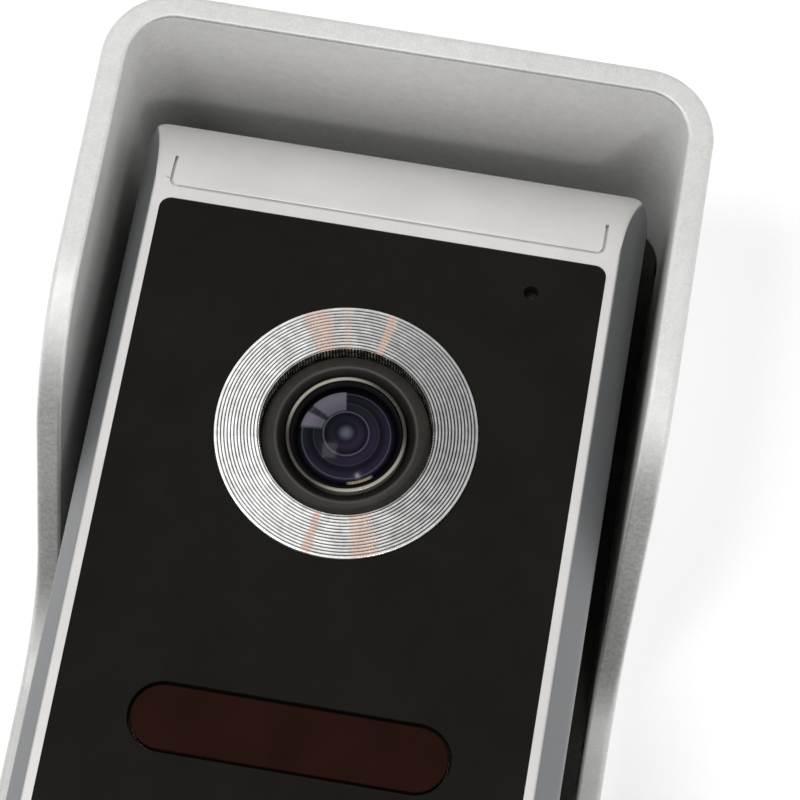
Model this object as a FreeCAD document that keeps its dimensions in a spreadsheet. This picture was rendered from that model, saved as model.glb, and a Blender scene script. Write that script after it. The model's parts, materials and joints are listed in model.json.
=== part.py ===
# Door intercom panel: a slim wall station with a camera, hung inside a deep rain hood.
#
# Frame: millimetres, +Z up, the front looks towards -Y. The origin lies on the wall plane, at the
# middle of the hood's height and width. "Depth" below is measured from the plane of the black front
# panel towards the wall; row_y() turns it into a Y position.
import FreeCAD, Part
import math
import os
import Sketcher

Vector = FreeCAD.Vector

# name, value, what it is (mm, degrees where it says so)
SIZES = [
    ("panel_standoff", 40.0, "wall plane to the plane of the front panel"),
    ("hood_width", 72.2, "outside"),
    ("hood_height", 151.0, "outside"),
    ("hood_wall", 3.0, "side walls and roof"),
    ("hood_back", 2.5, "back plate"),
    ("hood_corner", 8.5, "outer corner radius"),
    ("hood_reach", 5.4, "rim ahead of the front panel, at the roof"),
    ("hood_lean", 1.2, "how far the rim falls back down to the shoulder"),
    ("hood_lip", 5.0, "height of the low side lip above the wall"),
    ("shoulder_top", 43.0, "height where the rim starts to curve back"),
    ("shoulder_slope", 62.6, "degrees, steepest slope of the shoulder"),
    ("shoulder_upper", 22.0, "radius of the upper curve of the shoulder"),
    ("shoulder_lower", 18.0, "radius of the lower curve of the shoulder"),
    ("body_middle", -2.5, "height of the middle of the station body"),
    ("body_width", 61.0, "over the widest part of the bezel"),
    ("bezel_front_width", 55.0, "over the front edge of the bezel"),
    ("bezel_flare", 8.0, "depth over which the bezel widens"),
    ("bezel_depth", 14.0, "front plane to the parting line"),
    ("bezel_roll", 11.8, "radius of the rounded top and bottom of the bezel"),
    ("bezel_ledge", 1.5, "flat strip above and below the panel"),
    ("body_corner", 4.5, "corner radius of the body, seen from the front"),
    ("body_wall", 2.0, "wall of the bezel and the rear case"),
    ("groove_width", 0.35, "shadow line round the rolled ends"),
    ("groove_inset", 1.8, "shadow line in from the front edge of the bezel"),
    ("groove_leg", 4.2, "length of its upturned ends"),
    ("groove_turn", 1.0, "radius where it turns"),
    ("panel_width", 52.4, "front panel"),
    ("panel_height", 109.0, "front panel"),
    ("panel_thick", 2.0, "front panel"),
    ("panel_corner", 1.3, "corner radius of the front panel"),
    ("tape_thick", 0.2, "adhesive film behind the panel"),
    ("floor_back", 4.0, "depth of the back face of the bezel's floor"),
    ("fit_gap", 0.1, "clearance round pieces let into one another"),
    ("thread_gap", 0.02, "clearance in screwed joints"),
    ("camera_height", 27.2, "height of the camera axis"),
    ("ring_outer", 15.0, "radius of the grooved ring"),
    ("ring_inner", 9.8, "radius of the grooved ring"),
    ("ring_proud", 0.25, "ring ahead of the panel"),
    ("ring_groove", 0.14, "depth of the turned grooves"),
    ("surround_radius", 8.05, "mouth of the lens surround"),
    ("surround_flange", 12.0, "radius of its flange behind the floor"),
    ("barrel_radius", 6.9, "front flange of the lens barrel"),
    ("thread_radius", 6.0, "M12 thread of the lens barrel"),
    ("glass_radius", 5.45, "front glass"),
    ("camera_board_depth", 20.0, "front face of the camera board"),
    ("camera_board_size", 27.0, "square camera board"),
    ("board_thick", 1.2, "small circuit boards"),
    ("post_radius", 2.25, "screw posts for small boards"),
    ("window_height", -8.5, "height of the infrared window"),
    ("window_length", 36.0, "opening in the panel"),
    ("window_tall", 8.0, "opening in the panel"),
    ("window_gap", 0.35, "gap round the infrared window"),
    ("led_board_depth", 9.0, "front face of the infrared board"),
    ("led_pitch", 6.0, "between infrared LEDs"),
    ("led_radius", 2.4, "infrared LED dome"),
    ("mic_across", 18.05, "microphone, right of the middle"),
    ("mic_height", 47.4, "microphone"),
    ("mic_hole", 0.85, "radius of its hole in the panel"),
    ("mic_port", 0.5, "radius of the smaller hole behind it"),
    ("mic_capsule", 3.0, "radius of the microphone capsule"),
    ("button_height", -27.5, "call button"),
    ("button_radius", 9.0, "cap"),
    ("button_gap", 0.3, "clearance round the cap"),
    ("button_proud", 0.9, "cap ahead of the panel, released"),
    ("button_travel", 0.8, "stroke of the cap"),
    ("button_flange", 1.6, "width of the flange that retains the cap"),
    ("light_ring", 1.9, "width of the light ring round the button"),
    ("button_board_depth", 13.0, "front face of the button board"),
    ("switch_gap", 0.35, "free play between cap and switch"),
    ("plunger_radius", 1.7, "switch plunger"),
    ("plunger_stroke", 0.5, "travel of the switch plunger"),
    ("speaker_height", -50.6, "loudspeaker"),
    ("speaker_radius", 11.0, "loudspeaker"),
    ("slot_length", 18.0, "loudspeaker slots"),
    ("slot_tall", 1.3, "loudspeaker slots"),
    ("slot_pitch", 2.7, "loudspeaker slots"),
    ("main_board_depth", 27.0, "front face of the main board"),
    ("main_board_width", 48.0, "main board"),
    ("main_board_height", 104.0, "main board"),
    ("main_board_thick", 1.6, "main board"),
    ("case_back", 34.5, "depth of the back face of the rear case"),
    ("case_screw_x", 24.0, "case screws, each side of the middle"),
    ("case_screw_z", 58.5, "case screws, above and below the body's middle"),
    ("pad_thick", 2.5, "foam pad between body and hood"),
    ("bracket_thick", 1.5, "steel bracket"),
    ("bracket_width", 34.0, "steel bracket"),
    ("bracket_height", 84.0, "steel bracket, plate only"),
    ("bracket_foot", 16.0, "width of its folded foot"),
    ("hook_across", 11.0, "bracket hooks, each side of the middle"),
    ("hook_height", 30.0, "bracket hooks"),
    ("hook_width", 7.0, "bracket hooks"),
    ("wall_hole_x", 46.0, "between wall screws, across"),
    ("wall_hole_z", 100.0, "between wall screws, up"),
    ("wall_hole", 2.3, "radius of the wall screw holes"),
    ("cable_height", -22.0, "cable inlet"),
    ("cable_hole", 7.0, "radius of the inlet in the rear case"),
    ("cable_bore", 3.0, "radius of the bore of the grommet"),
    ("wall_opening", 10.0, "radius of the cable opening in the hood"),
    ("trimmer_across", 12.0, "volume trimmer, right of the middle"),
    ("trimmer_height", 12.0, "volume trimmer"),
    ("lock_screw_depth", 26.0, "locking screw, from the front panel's plane"),
]


class Size:
    """A number together with the spreadsheet expression that it comes from."""

    def __init__(self, value, text):
        self.value = float(value)
        self.text = text

    def combined(self, other, sign, value):
        return Size(value, "(%s %s %s)" % (self.text, sign, other.text))

    def __add__(self, other):
        other = sized(other)
        return self.combined(other, "+", self.value + other.value)

    def __sub__(self, other):
        other = sized(other)
        return self.combined(other, "-", self.value - other.value)

    def __mul__(self, other):
        other = sized(other)
        return self.combined(other, "*", self.value * other.value)

    def __truediv__(self, other):
        other = sized(other)
        return self.combined(other, "/", self.value / other.value)

    def __neg__(self):
        return Size(-self.value, "(0 - %s)" % self.text)

    def __radd__(self, other):
        return sized(other) + self

    def __rsub__(self, other):
        return sized(other) - self

    def __rmul__(self, other):
        return sized(other) * self


def sized(number):
    """A plain number as a Size."""
    if isinstance(number, Size):
        return number
    return Size(number, "(%s)" % repr(float(number)))


def root(square):
    return Size(math.sqrt(square.value), "sqrt(%s)" % square.text)


def sine(degrees):
    return Size(math.sin(math.radians(degrees.value)), "sin(%s)" % degrees.text)


def cosine(degrees):
    return Size(math.cos(math.radians(degrees.value)), "cos(%s)" % degrees.text)


class SizeTable:
    """The spreadsheet, read as attributes: S.hood_width is a Size."""

    def __init__(self, document):
        self.sheet = document.addObject("Spreadsheet::Sheet", "Sizes")
        for row, (name, value, note) in enumerate(SIZES, 1):
            self.sheet.set("A%d" % row, name)
            self.sheet.set("B%d" % row, repr(value))
            self.sheet.set("C%d" % row, note)
            self.sheet.setAlias("B%d" % row, name)
            setattr(self, name, Size(value, "Sizes." + name))


doc = FreeCAD.newDocument("door_intercom")
S = SizeTable(doc)
doc.recompute()
pieces = []


def row_y(depth):
    """Y of a plane that lies at this depth behind the front panel's plane."""
    return sized(depth) - S.panel_standoff


def bind(thing, name, size):
    thing.setExpression(name, sized(size).text)


def put(thing, across=0.0, y=0.0, height=0.0):
    """Bind where a piece's own origin lies."""
    bind(thing, "Placement.Base.x", across)
    bind(thing, "Placement.Base.y", y)
    bind(thing, "Placement.Base.z", height)
    return thing


def piece(thing, name):
    """Mark an object as a finished sub-part."""
    thing.Label = name
    pieces.append(thing)
    return thing


# ---------------------------------------------------------------- sketches

def arc_between(start, end, radius):
    """An arc from start to end; a positive radius turns left, a negative one right."""
    chord = end - start
    half = chord.Length / 2.0
    reach = math.sqrt(max(radius * radius - half * half, 0.0))
    left = Vector(-chord.y, chord.x, 0).normalize()
    side = 1.0 if radius > 0 else -1.0
    centre = (start + end) * 0.5 + left * reach * side
    first, last = (start, end) if radius > 0 else (end, start)
    angles = [math.atan2(p.y - centre.y, p.x - centre.x) for p in (first, last)]
    circle = Part.Circle(centre, Vector(0, 0, 1), abs(radius))
    return Part.ArcOfCircle(circle, angles[0], angles[1])


def hold(sketch, kind, target, size, name):
    """Add a dimension and bind it to the sheet."""
    if kind == "Radius":
        constraint = Sketcher.Constraint(kind, target[0], abs(size.value))
    else:
        constraint = Sketcher.Constraint(kind, -1, 1, target[0], target[1], size.value)
    number = sketch.addConstraint(constraint)
    sketch.renameConstraint(number, name)
    sketch.setExpression("Constraints." + name, size.text)


def draw_outline(sketch, corners):
    """A closed outline. Each corner is (x, y), or (x, y, radius) where an arc leaves it."""
    first = sketch.GeometryCount
    count = len(corners)
    flat = [(sized(c[0]), sized(c[1]), sized(c[2]) if len(c) > 2 else None) for c in corners]
    ends = []
    for index, (x, y, radius) in enumerate(flat):
        after = flat[(index + 1) % count]
        start = Vector(x.value, y.value, 0)
        end = Vector(after[0].value, after[1].value, 0)
        if radius is None:
            sketch.addGeometry(Part.LineSegment(start, end))
            ends.append((1, 2))
        else:
            sketch.addGeometry(arc_between(start, end, radius.value))
            ends.append((1, 2) if radius.value > 0 else (2, 1))
    for index, (x, y, radius) in enumerate(flat):
        here = first + index
        after = (index + 1) % count
        link = (here, ends[index][1], first + after, ends[after][0])
        sketch.addConstraint(Sketcher.Constraint("Coincident", *link))
        hold(sketch, "DistanceX", (here, ends[index][0]), x, "across_%d" % here)
        hold(sketch, "DistanceY", (here, ends[index][0]), y, "up_%d" % here)
        if radius is not None:
            size = radius if radius.value > 0 else -radius
            hold(sketch, "Radius", (here,), size, "radius_%d" % here)


class Disc:
    """A full circle in a sketch."""

    def __init__(self, radius, x=0.0, y=0.0):
        self.radius = sized(radius)
        self.x = sized(x)
        self.y = sized(y)


def draw_disc(sketch, disc):
    here = sketch.GeometryCount
    centre = Vector(disc.x.value, disc.y.value, 0)
    sketch.addGeometry(Part.Circle(centre, Vector(0, 0, 1), disc.radius.value))
    hold(sketch, "DistanceX", (here, 3), disc.x, "across_%d" % here)
    hold(sketch, "DistanceY", (here, 3), disc.y, "up_%d" % here)
    hold(sketch, "Radius", (here,), disc.radius, "radius_%d" % here)


def slab(width, height, radius=None, x=0.0, y=0.0):
    """A rectangle about (x, y), with round corners where a radius is given."""
    w = sized(width) / 2
    h = sized(height) / 2
    if radius is None:
        return [(x - w, y - h), (x + w, y - h), (x + w, y + h), (x - w, y + h)]
    r = sized(radius)
    return [
        (x - w + r, y - h), (x + w - r, y - h, r),
        (x + w, y - h + r), (x + w, y + h - r, r),
        (x + w - r, y + h), (x - w + r, y + h, r),
        (x - w, y + h - r), (x - w, y - h + r, r),
    ]


def stadium(length, tall, x=0.0, y=0.0):
    """A slot with round ends, lying across."""
    r = sized(tall) / 2
    reach = sized(length) / 2
    return [
        (x - reach + r, y - r), (x + reach - r, y - r, r),
        (x + reach, y + 0.0, r), (x + reach - r, y + r),
        (x - reach + r, y + r, r), (x - reach, y + 0.0, r),
    ]


def sketch_in(body, role, loops):
    """A sketch on one of the body's own origin planes."""
    sketch = body.newObject("Sketcher::SketchObject", body.Name + "_sketch")
    for plane in body.Origin.OriginFeatures:
        if plane.Role == role:
            sketch.AttachmentSupport = (plane, "")
    sketch.MapMode = "FlatFace"
    for loop in loops:
        if isinstance(loop, Disc):
            draw_disc(sketch, loop)
        else:
            draw_outline(sketch, loop)
    return sketch


def body_named(name):
    return doc.addObject("PartDesign::Body", name)


def padded(name, loops, front, thick):
    """A plate seen from the front: its front face at this depth, this thick towards the wall."""
    body = body_named(name)
    pad = body.newObject("PartDesign::Pad", name + "_pad")
    pad.Profile = sketch_in(body, "XZ_Plane", loops)
    bind(pad, "Length", thick)
    put(body, y=row_y(front) + thick)
    return body


def turned(name, corners, height=0.0, across=0.0):
    """A piece turned about an axis along Y; the profile's corners are (radius, depth)."""
    body = body_named(name)
    spin = body.newObject("PartDesign::Revolution", name + "_spin")
    sketch = sketch_in(body, "XY_Plane", [corners])
    spin.Profile = sketch
    spin.ReferenceAxis = (sketch, ["V_Axis"])
    spin.Angle = 360.0
    put(body, across=across, y=row_y(0), height=height)
    return body


def profiled(name, corners, width, across=0.0):
    """A piece whose outline is seen from the side, (y, z), and runs across by this width."""
    body = body_named(name)
    pad = body.newObject("PartDesign::Pad", name + "_pad")
    pad.Profile = sketch_in(body, "YZ_Plane", [corners])
    bind(pad, "Length", width)
    put(body, across=across - sized(width) / 2)
    return body


# ---------------------------------------------------------------- simple solids and booleans

def block(name, width, thick, tall, front, across=0.0, height=0.0):
    """A block centred across and in height, its front face at this depth."""
    box = doc.addObject("Part::Box", name)
    bind(box, "Length", width)
    bind(box, "Width", thick)
    bind(box, "Height", tall)
    put(box, across - sized(width) / 2, row_y(front), height - sized(tall) / 2)
    return box


def rod(name, radius, front, length, across=0.0, height=0.0):
    """A cylinder along Y from this depth towards the wall."""
    cylinder = doc.addObject("Part::Cylinder", name)
    bind(cylinder, "Radius", radius)
    bind(cylinder, "Height", length)
    cylinder.Placement.Rotation = FreeCAD.Rotation(Vector(1, 0, 0), -90)
    put(cylinder, across, row_y(front), height)
    return cylinder


def hexagon(name, radius, front, length, across=0.0, height=0.0):
    prism = doc.addObject("Part::Prism", name)
    prism.Polygon = 6
    bind(prism, "Circumradius", radius)
    bind(prism, "Height", length)
    prism.Placement.Rotation = FreeCAD.Rotation(Vector(1, 0, 0), -90)
    put(prism, across, row_y(front), height)
    return prism


def join(name, *things):
    fuse = doc.addObject("Part::MultiFuse", name)
    fuse.Shapes = list(things)
    return fuse


def meet(name, *things):
    common = doc.addObject("Part::MultiCommon", name)
    common.Shapes = list(things)
    return common


def cut(name, base, *tools):
    result = doc.addObject("Part::Cut", name)
    result.Base = base
    result.Tool = tools[0] if len(tools) == 1 else join(name + "_tools", *tools)
    return result


def group(name, things):
    """Separate solids kept together as one sub-part."""
    compound = doc.addObject("Part::Compound", name)
    compound.Links = list(things)
    return compound


def rods(name, spots, radius, front, length):
    """One cylinder at each (across, height) spot."""
    made = []
    for number, (across, height) in enumerate(spots, 1):
        made.append(rod("%s_%d" % (name, number), radius, front, length, across, height))
    return made


def four_corners(across, up, middle=0.0):
    return [(sx * sized(across), middle + sz * sized(up)) for sz in (-1, 1) for sx in (-1, 1)]


def screw(name, across, height, head_plane, head, shank, inwards=1):
    """A pan head screw with a hexagon socket; the shank runs towards the wall, or away if -1."""
    head_radius, head_thick = sized(head[0]), sized(head[1])
    shank_radius, shank_length = sized(shank[0]), sized(shank[1])
    tip = head_plane + inwards * (head_thick + shank_length)
    neck = head_plane + inwards * head_thick
    round_off = head_thick * 0.45
    corners = [
        (0.0, head_plane), (head_radius - round_off, head_plane),
        (head_radius, head_plane + inwards * round_off), (head_radius, neck),
        (shank_radius, neck), (shank_radius, tip), (0.0, tip),
    ]
    blank = turned(name + "_blank", corners, height, across)
    socket_depth = head_thick * 0.6
    socket_start = head_plane if inwards > 0 else head_plane - socket_depth
    socket = hexagon(name + "_socket", head_radius * 0.5, socket_start, socket_depth, across, height)
    return cut(name, blank, socket)


# ---------------------------------------------------------------- rain hood and its fittings

hood_front = S.hood_reach + S.panel_standoff
wall_depth = S.panel_standoff
hood_plate = S.panel_standoff - S.hood_back


def shoulder_corners():
    """What is cut away in front of the rim: (y, z) corners from the roof down to the lip."""
    lean = S.hood_lean
    start_y = -hood_front + lean
    sine_slope = sine(S.shoulder_slope)
    cosine_slope = cosine(S.shoulder_slope)
    upper_y = start_y + S.shoulder_upper * (1 - cosine_slope)
    upper_z = S.shoulder_top - S.shoulder_upper * sine_slope
    lip_y = -S.hood_lip
    lower_y = lip_y - S.shoulder_lower * (1 - cosine_slope)
    run = (lower_y - upper_y) / sine_slope
    lower_z = upper_z - run * cosine_slope
    lip_z = lower_z - S.shoulder_lower * sine_slope
    clear_y = -hood_front - 10
    bottom = -S.hood_height / 2 - 10
    return [
        (clear_y, S.hood_height / 2), (-hood_front, S.hood_height / 2),
        (start_y, S.shoulder_top, S.shoulder_upper),
        (upper_y, upper_z), (lower_y, lower_z, -S.shoulder_lower),
        (lip_y, lip_z), (lip_y, bottom), (clear_y, bottom),
    ]


wall_spots = four_corners(S.wall_hole_x / 2, S.wall_hole_z / 2)

bracket_middle = S.body_middle - 8
bracket_front = hood_plate - S.bracket_thick
bracket_screw_spots = [(-11.0, S.cable_height + 32), (11.0, S.cable_height - 14)]
hook_depth = hood_plate - (S.case_back - S.body_wall) + S.bracket_thick + S.fit_gap
foot_top = S.body_middle - (S.panel_height / 2 + S.bezel_ledge + S.bezel_roll) - 0.35
foot_reach = S.lock_screw_depth - 5


def make_hood():
    outline = slab(S.hood_width, S.hood_height, S.hood_corner)
    inner_width = S.hood_width - S.hood_wall * 2
    inner_height = S.hood_height - S.hood_wall * 2
    inner = slab(inner_width, inner_height, S.hood_corner - S.hood_wall)
    shell = padded("hood_block", [outline], -S.hood_reach, hood_front)
    hollow = padded("hood_hollow", [inner], -S.hood_reach - 1, hood_plate + S.hood_reach + 1)
    shoulder = profiled("hood_shoulder", shoulder_corners(), S.hood_width + 20)
    opening = rod("hood_cable_opening", S.wall_opening, hood_plate - 1, S.hood_back + 2,
                  height=S.cable_height)
    holes = rods("hood_wall_hole", wall_spots, S.wall_hole, hood_plate - 1, S.hood_back + 2)
    small = rods("hood_bracket_hole", bracket_screw_spots, 1.6, hood_plate - 1, S.hood_back + 2)
    sinks = rods("hood_bracket_sink", bracket_screw_spots, 3.0, wall_depth - 1.5, 3.0)
    seal_groove = padded("hood_seal_groove", seal_loops(S.fit_gap), wall_depth - 1.2, S.hood_back)
    tools = [hollow, shoulder, opening, seal_groove] + holes + small + sinks
    raw = cut("hood_cut", shell, *tools)
    return piece(raw, "rain_hood")


def seal_loops(gap):
    """The wall seal's closed strip, with this clearance on each side."""
    width = S.hood_width - 6
    height = S.hood_height - 6
    outer = slab(width + gap * 2, height + gap * 2, S.hood_corner - 3 + gap)
    inner = slab(width - 5 - gap * 2, height - 5 - gap * 2, S.hood_corner - 5.5 - gap)
    return [outer, inner]


def make_wall_seal():
    piece(padded("wall_seal", seal_loops(sized(0.0)), wall_depth - 1.2, 1.2), "wall_seal")


def make_pad():
    """Black foam sheet that fills the hood's floor round the bracket and the wall screws."""
    width = S.hood_width - S.hood_wall * 2 - 0.6
    height = S.hood_height - S.hood_wall * 2 - 0.6
    outline = slab(width, height, S.hood_corner - S.hood_wall - 0.3)
    window = slab(S.bracket_width + 1, S.bracket_height + 1, 1.0, 0.0, bracket_middle)
    foot_slot = slab(S.bracket_foot + 1, 24.0, None, 0.0, bracket_middle - S.bracket_height / 2 - 10)
    sheet = padded("pad_sheet", [outline], S.case_back, S.pad_thick)
    middle = padded("pad_window", [window], S.case_back - 1, S.pad_thick + 2)
    foot = padded("pad_foot_slot", [foot_slot], S.case_back - 1, S.pad_thick + 2)
    heads = rods("pad_head_hole", wall_spots, 5.0, S.case_back - 1, S.pad_thick + 2)
    piece(cut("backing_pad", sheet, middle, foot, *heads), "backing_pad")


def make_bracket():
    """Stamped plate with two hooks at the top and a folded foot below the body.

    The hooks reach through the slots of the rear case, whose wall drops behind their teeth.
    """
    plate = block("bracket_plate", S.bracket_width, S.bracket_thick, S.bracket_height,
                  bracket_front, height=bracket_middle)
    plate_bottom = bracket_middle - S.bracket_height / 2
    tail_tall = plate_bottom - foot_top + S.bracket_thick
    tail = block("bracket_tail", S.bracket_foot, S.bracket_thick, tail_tall, bracket_front,
                 height=plate_bottom - tail_tall / 2)
    foot_thick = hood_plate - foot_reach
    foot = block("bracket_foot", S.bracket_foot, foot_thick, S.bracket_thick, foot_reach,
                 height=foot_top - S.bracket_thick / 2)
    hooks = []
    for side in (-1, 1):
        label = "left" if side < 0 else "right"
        hooks.append(block("bracket_hook_" + label, S.hook_width, hook_depth, S.bracket_thick,
                           hood_plate - hook_depth, side * S.hook_across, S.hook_height))
        hooks.append(block("bracket_tooth_" + label, S.hook_width, S.bracket_thick, 4.0,
                           hood_plate - hook_depth, side * S.hook_across, S.hook_height + 2.0))
    blank = join("bracket_blank", plate, tail, foot, *hooks)
    opening = rod("bracket_cable_opening", S.wall_opening, bracket_front - 1, S.bracket_thick + 2,
                  height=S.cable_height)
    threads = rods("bracket_thread", bracket_screw_spots, 1.25, bracket_front - 1, 3.5)
    lock = doc.addObject("Part::Cylinder", "bracket_lock_hole")
    bind(lock, "Radius", 1.7)
    bind(lock, "Height", S.bracket_thick + 2)
    put(lock, 0.0, row_y(S.lock_screw_depth), foot_top - S.bracket_thick - 1)
    piece(cut("mounting_bracket", blank, opening, lock, *threads), "mounting_bracket")


def make_bracket_screws():
    """Countersunk screws from the wall side, flush in the back plate."""
    made = []
    for number, (across, height) in enumerate(bracket_screw_spots, 1):
        corners = [
            (0.0, bracket_front + 0.2), (1.25 - S.thread_gap, bracket_front + 0.2),
            (1.25 - S.thread_gap, wall_depth - 1.5), (2.9, wall_depth - 1.5),
            (2.9, wall_depth - 0.2), (0.0, wall_depth - 0.2),
        ]
        blank = turned("bracket_screw_blank_%d" % number, corners, height, across)
        socket = hexagon("bracket_screw_socket_%d" % number, 1.2, wall_depth - 0.9, 1.0,
                         across, height)
        made.append(cut("bracket_screw_%d" % number, blank, socket))
    piece(group("bracket_screws", made), "bracket_screws")


def upright(name, corners, depth):
    """A piece turned about a vertical axis through this depth; corners are (radius, z)."""
    body = body_named(name)
    spin = body.newObject("PartDesign::Revolution", name + "_spin")
    sketch = sketch_in(body, "XZ_Plane", [corners])
    spin.Profile = sketch
    spin.ReferenceAxis = (sketch, ["V_Axis"])
    spin.Angle = 360.0
    put(body, y=row_y(depth))
    return body


def make_lock():
    """The locking screw from below, and the brass insert that it drives into."""
    head_top = foot_top - S.bracket_thick
    tip = head_top + 8.0
    corners = [
        (0.0, head_top - 1.7), (2.1, head_top - 1.7), (2.8, head_top - 1.0), (2.8, head_top),
        (1.5, head_top), (1.5, tip), (0.0, tip),
    ]
    blank = upright("security_screw_blank", corners, S.lock_screw_depth)
    socket = doc.addObject("Part::Prism", "security_screw_socket")
    socket.Polygon = 6
    bind(socket, "Circumradius", 1.3)
    bind(socket, "Height", 1.1)
    put(socket, 0.0, row_y(S.lock_screw_depth), head_top - 1.7)
    pin = doc.addObject("Part::Cylinder", "security_screw_pin")
    bind(pin, "Radius", 0.4)
    bind(pin, "Height", 1.1)
    put(pin, 0.0, row_y(S.lock_screw_depth), head_top - 1.7)
    recess = cut("security_screw_recess", socket, pin)
    piece(cut("security_screw", blank, recess), "security_screw")
    insert = [
        (1.5 + S.thread_gap, case_bottom + 0.2), (2.4, case_bottom + 0.2),
        (2.4, case_bottom + 5.2), (1.5 + S.thread_gap, case_bottom + 5.2),
    ]
    piece(upright("security_insert", insert, S.lock_screw_depth), "security_insert")


# ---------------------------------------------------------------- station body: bezel and rear case

end_line = S.panel_height / 2 + S.bezel_ledge
body_half = end_line + S.bezel_roll
case_inset = sized(0.3)
case_bottom = S.body_middle - body_half + case_inset


def bezel_form(name, inset, front):
    """The bezel's outer form drawn in by an inset, from this depth to behind the parting line."""
    half = S.body_width / 2 - inset
    front_half = S.bezel_front_width / 2 - inset
    back = S.bezel_depth + 1
    outline = slab(half * 2, (body_half - inset) * 2, S.body_corner - inset, 0.0, S.body_middle)
    face = padded(name + "_face", [outline], front, back - front)
    plan = body_named(name + "_plan")
    pad = plan.newObject("PartDesign::Pad", name + "_plan_pad")
    pad.Profile = sketch_in(plan, "XY_Plane", [[
        (-front_half, 0.0), (front_half, 0.0), (half, S.bezel_flare), (half, back),
        (-half, back), (-half, S.bezel_flare),
    ]])
    bind(pad, "Length", body_half * 2)
    put(plan, y=row_y(0), height=S.body_middle - body_half)
    radius = S.bezel_roll - inset
    side = body_named(name + "_side")
    roll = side.newObject("PartDesign::Pad", name + "_side_pad")
    roll.Profile = sketch_in(side, "YZ_Plane", [[
        (inset, end_line), (inset, -end_line, radius), (S.bezel_roll, -end_line - radius),
        (back, -end_line - radius), (back, end_line + radius),
        (S.bezel_roll, end_line + radius, radius),
    ]])
    bind(roll, "Length", S.body_width)
    put(side, -S.body_width / 2, row_y(0), S.body_middle)
    return meet(name, face, plan, side)


def groove_path(sign):
    """The shadow line's strip, with both its ends turned outwards; sign is +1 at the top."""
    outer = S.bezel_front_width / 2 - S.groove_inset
    inner = outer - S.groove_width
    low = end_line
    high = end_line + S.groove_width
    tip = end_line + S.groove_leg
    turn = S.groove_turn
    corners = [
        (-outer + turn, low), (outer - turn, low, turn), (outer, low + turn), (outer, tip),
        (inner, tip), (inner, low + turn, -(turn - S.groove_width)), (outer - turn, high),
        (-outer + turn, high, -(turn - S.groove_width)), (-inner, low + turn), (-inner, tip),
        (-outer, tip), (-outer, low + turn, turn),
    ]
    if sign > 0:
        return corners
    flipped = []
    for corner in corners:
        turned_corner = (corner[0], -corner[1]) if len(corner) < 3 else None
        flipped.append(turned_corner or (corner[0], -corner[1], -corner[2]))
    return flipped


def make_bezel():
    outer = bezel_form("bezel_outer", sized(0.0), sized(0.0))
    skin_core = bezel_form("bezel_skin_core", S.groove_width, sized(0.0))
    cavity = bezel_form("bezel_cavity", S.body_wall, S.floor_back)
    pocket_loop = slab(S.panel_width + S.fit_gap * 2, S.panel_height + S.fit_gap * 2,
                       S.panel_corner + S.fit_gap, 0.0, S.body_middle)
    pocket = padded("bezel_pocket", [pocket_loop], -1.0, S.panel_thick + S.tape_thick + 1)
    parting = block("bezel_parting", S.body_width + 10, 20.0, body_half * 2 + 10, S.bezel_depth,
                    height=S.body_middle)
    grooves = []
    for label, sign in (("top", 1), ("bottom", -1)):
        strip = padded("bezel_groove_%s_strip" % label, [groove_path(sign)], -1.0, 12.0)
        put(strip, y=row_y(11), height=S.body_middle)
        grooves.append(cut("bezel_groove_" + label, strip, skin_core))
    shell = cut("bezel_shell", outer, cavity, pocket, parting, *grooves)

    floor_back = S.floor_back - 0.2
    case_posts = rods("bezel_case_post", case_spots, 3.0, floor_back,
                      S.bezel_depth - floor_back)
    camera_posts = rods("bezel_camera_post", camera_screw_spots, S.post_radius, floor_back,
                        S.camera_board_depth - floor_back)
    led_posts = rods("bezel_led_post", led_screw_spots, S.post_radius - 0.25, floor_back,
                     S.led_board_depth - floor_back)
    button_posts = rods("bezel_button_post", button_screw_spots, S.post_radius, floor_back,
                        S.button_board_depth - floor_back)
    collar = padded("bezel_speaker_collar", [
        Disc(S.speaker_radius + 0.9, 0.0, S.speaker_height),
        Disc(S.speaker_radius + S.fit_gap, 0.0, S.speaker_height),
    ], floor_back, 5.0)
    boot_wall = padded("bezel_mic_collar", [
        Disc(S.mic_capsule + 2.6, S.mic_across, S.mic_height),
        Disc(S.mic_capsule + 1.5 + S.fit_gap, S.mic_across, S.mic_height),
    ], floor_back, 3.2)
    solid = join("bezel_with_posts", shell, collar, boot_wall, *case_posts, *camera_posts,
                 *led_posts, *button_posts)

    through = S.floor_back + 2
    openings = [
        rod("bezel_camera_hole", S.ring_inner + 0.6, 1.0, through, height=S.camera_height),
        padded("bezel_window_hole", [stadium(S.window_length - 3, S.window_tall - 2.4, 0.0,
                                             S.window_height)], 1.0, through),
        rod("bezel_mic_hole", S.mic_port, 1.0, through, S.mic_across, S.mic_height),
        rod("bezel_button_hole", light_ring_outer - 0.8, 1.0, through, height=S.button_height),
        padded("bezel_speaker_hole", [speaker_window()], 1.0, through),
    ]
    bores = rods("bezel_case_thread", case_spots, 1.1, S.bezel_depth - 8, 9.0)
    bores += rods("bezel_camera_thread", camera_screw_spots, 0.9, S.camera_board_depth - 6, 7.0)
    bores += rods("bezel_led_thread", led_screw_spots, 0.8, S.led_board_depth - 4, 5.0)
    bores += rods("bezel_button_thread", button_screw_spots, 0.9, S.button_board_depth - 6, 7.0)
    piece(cut("front_bezel", solid, *openings, *bores), "front_bezel")


case_spots = four_corners(S.case_screw_x, S.case_screw_z, S.body_middle)
case_floor = S.case_back - S.body_wall


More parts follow.
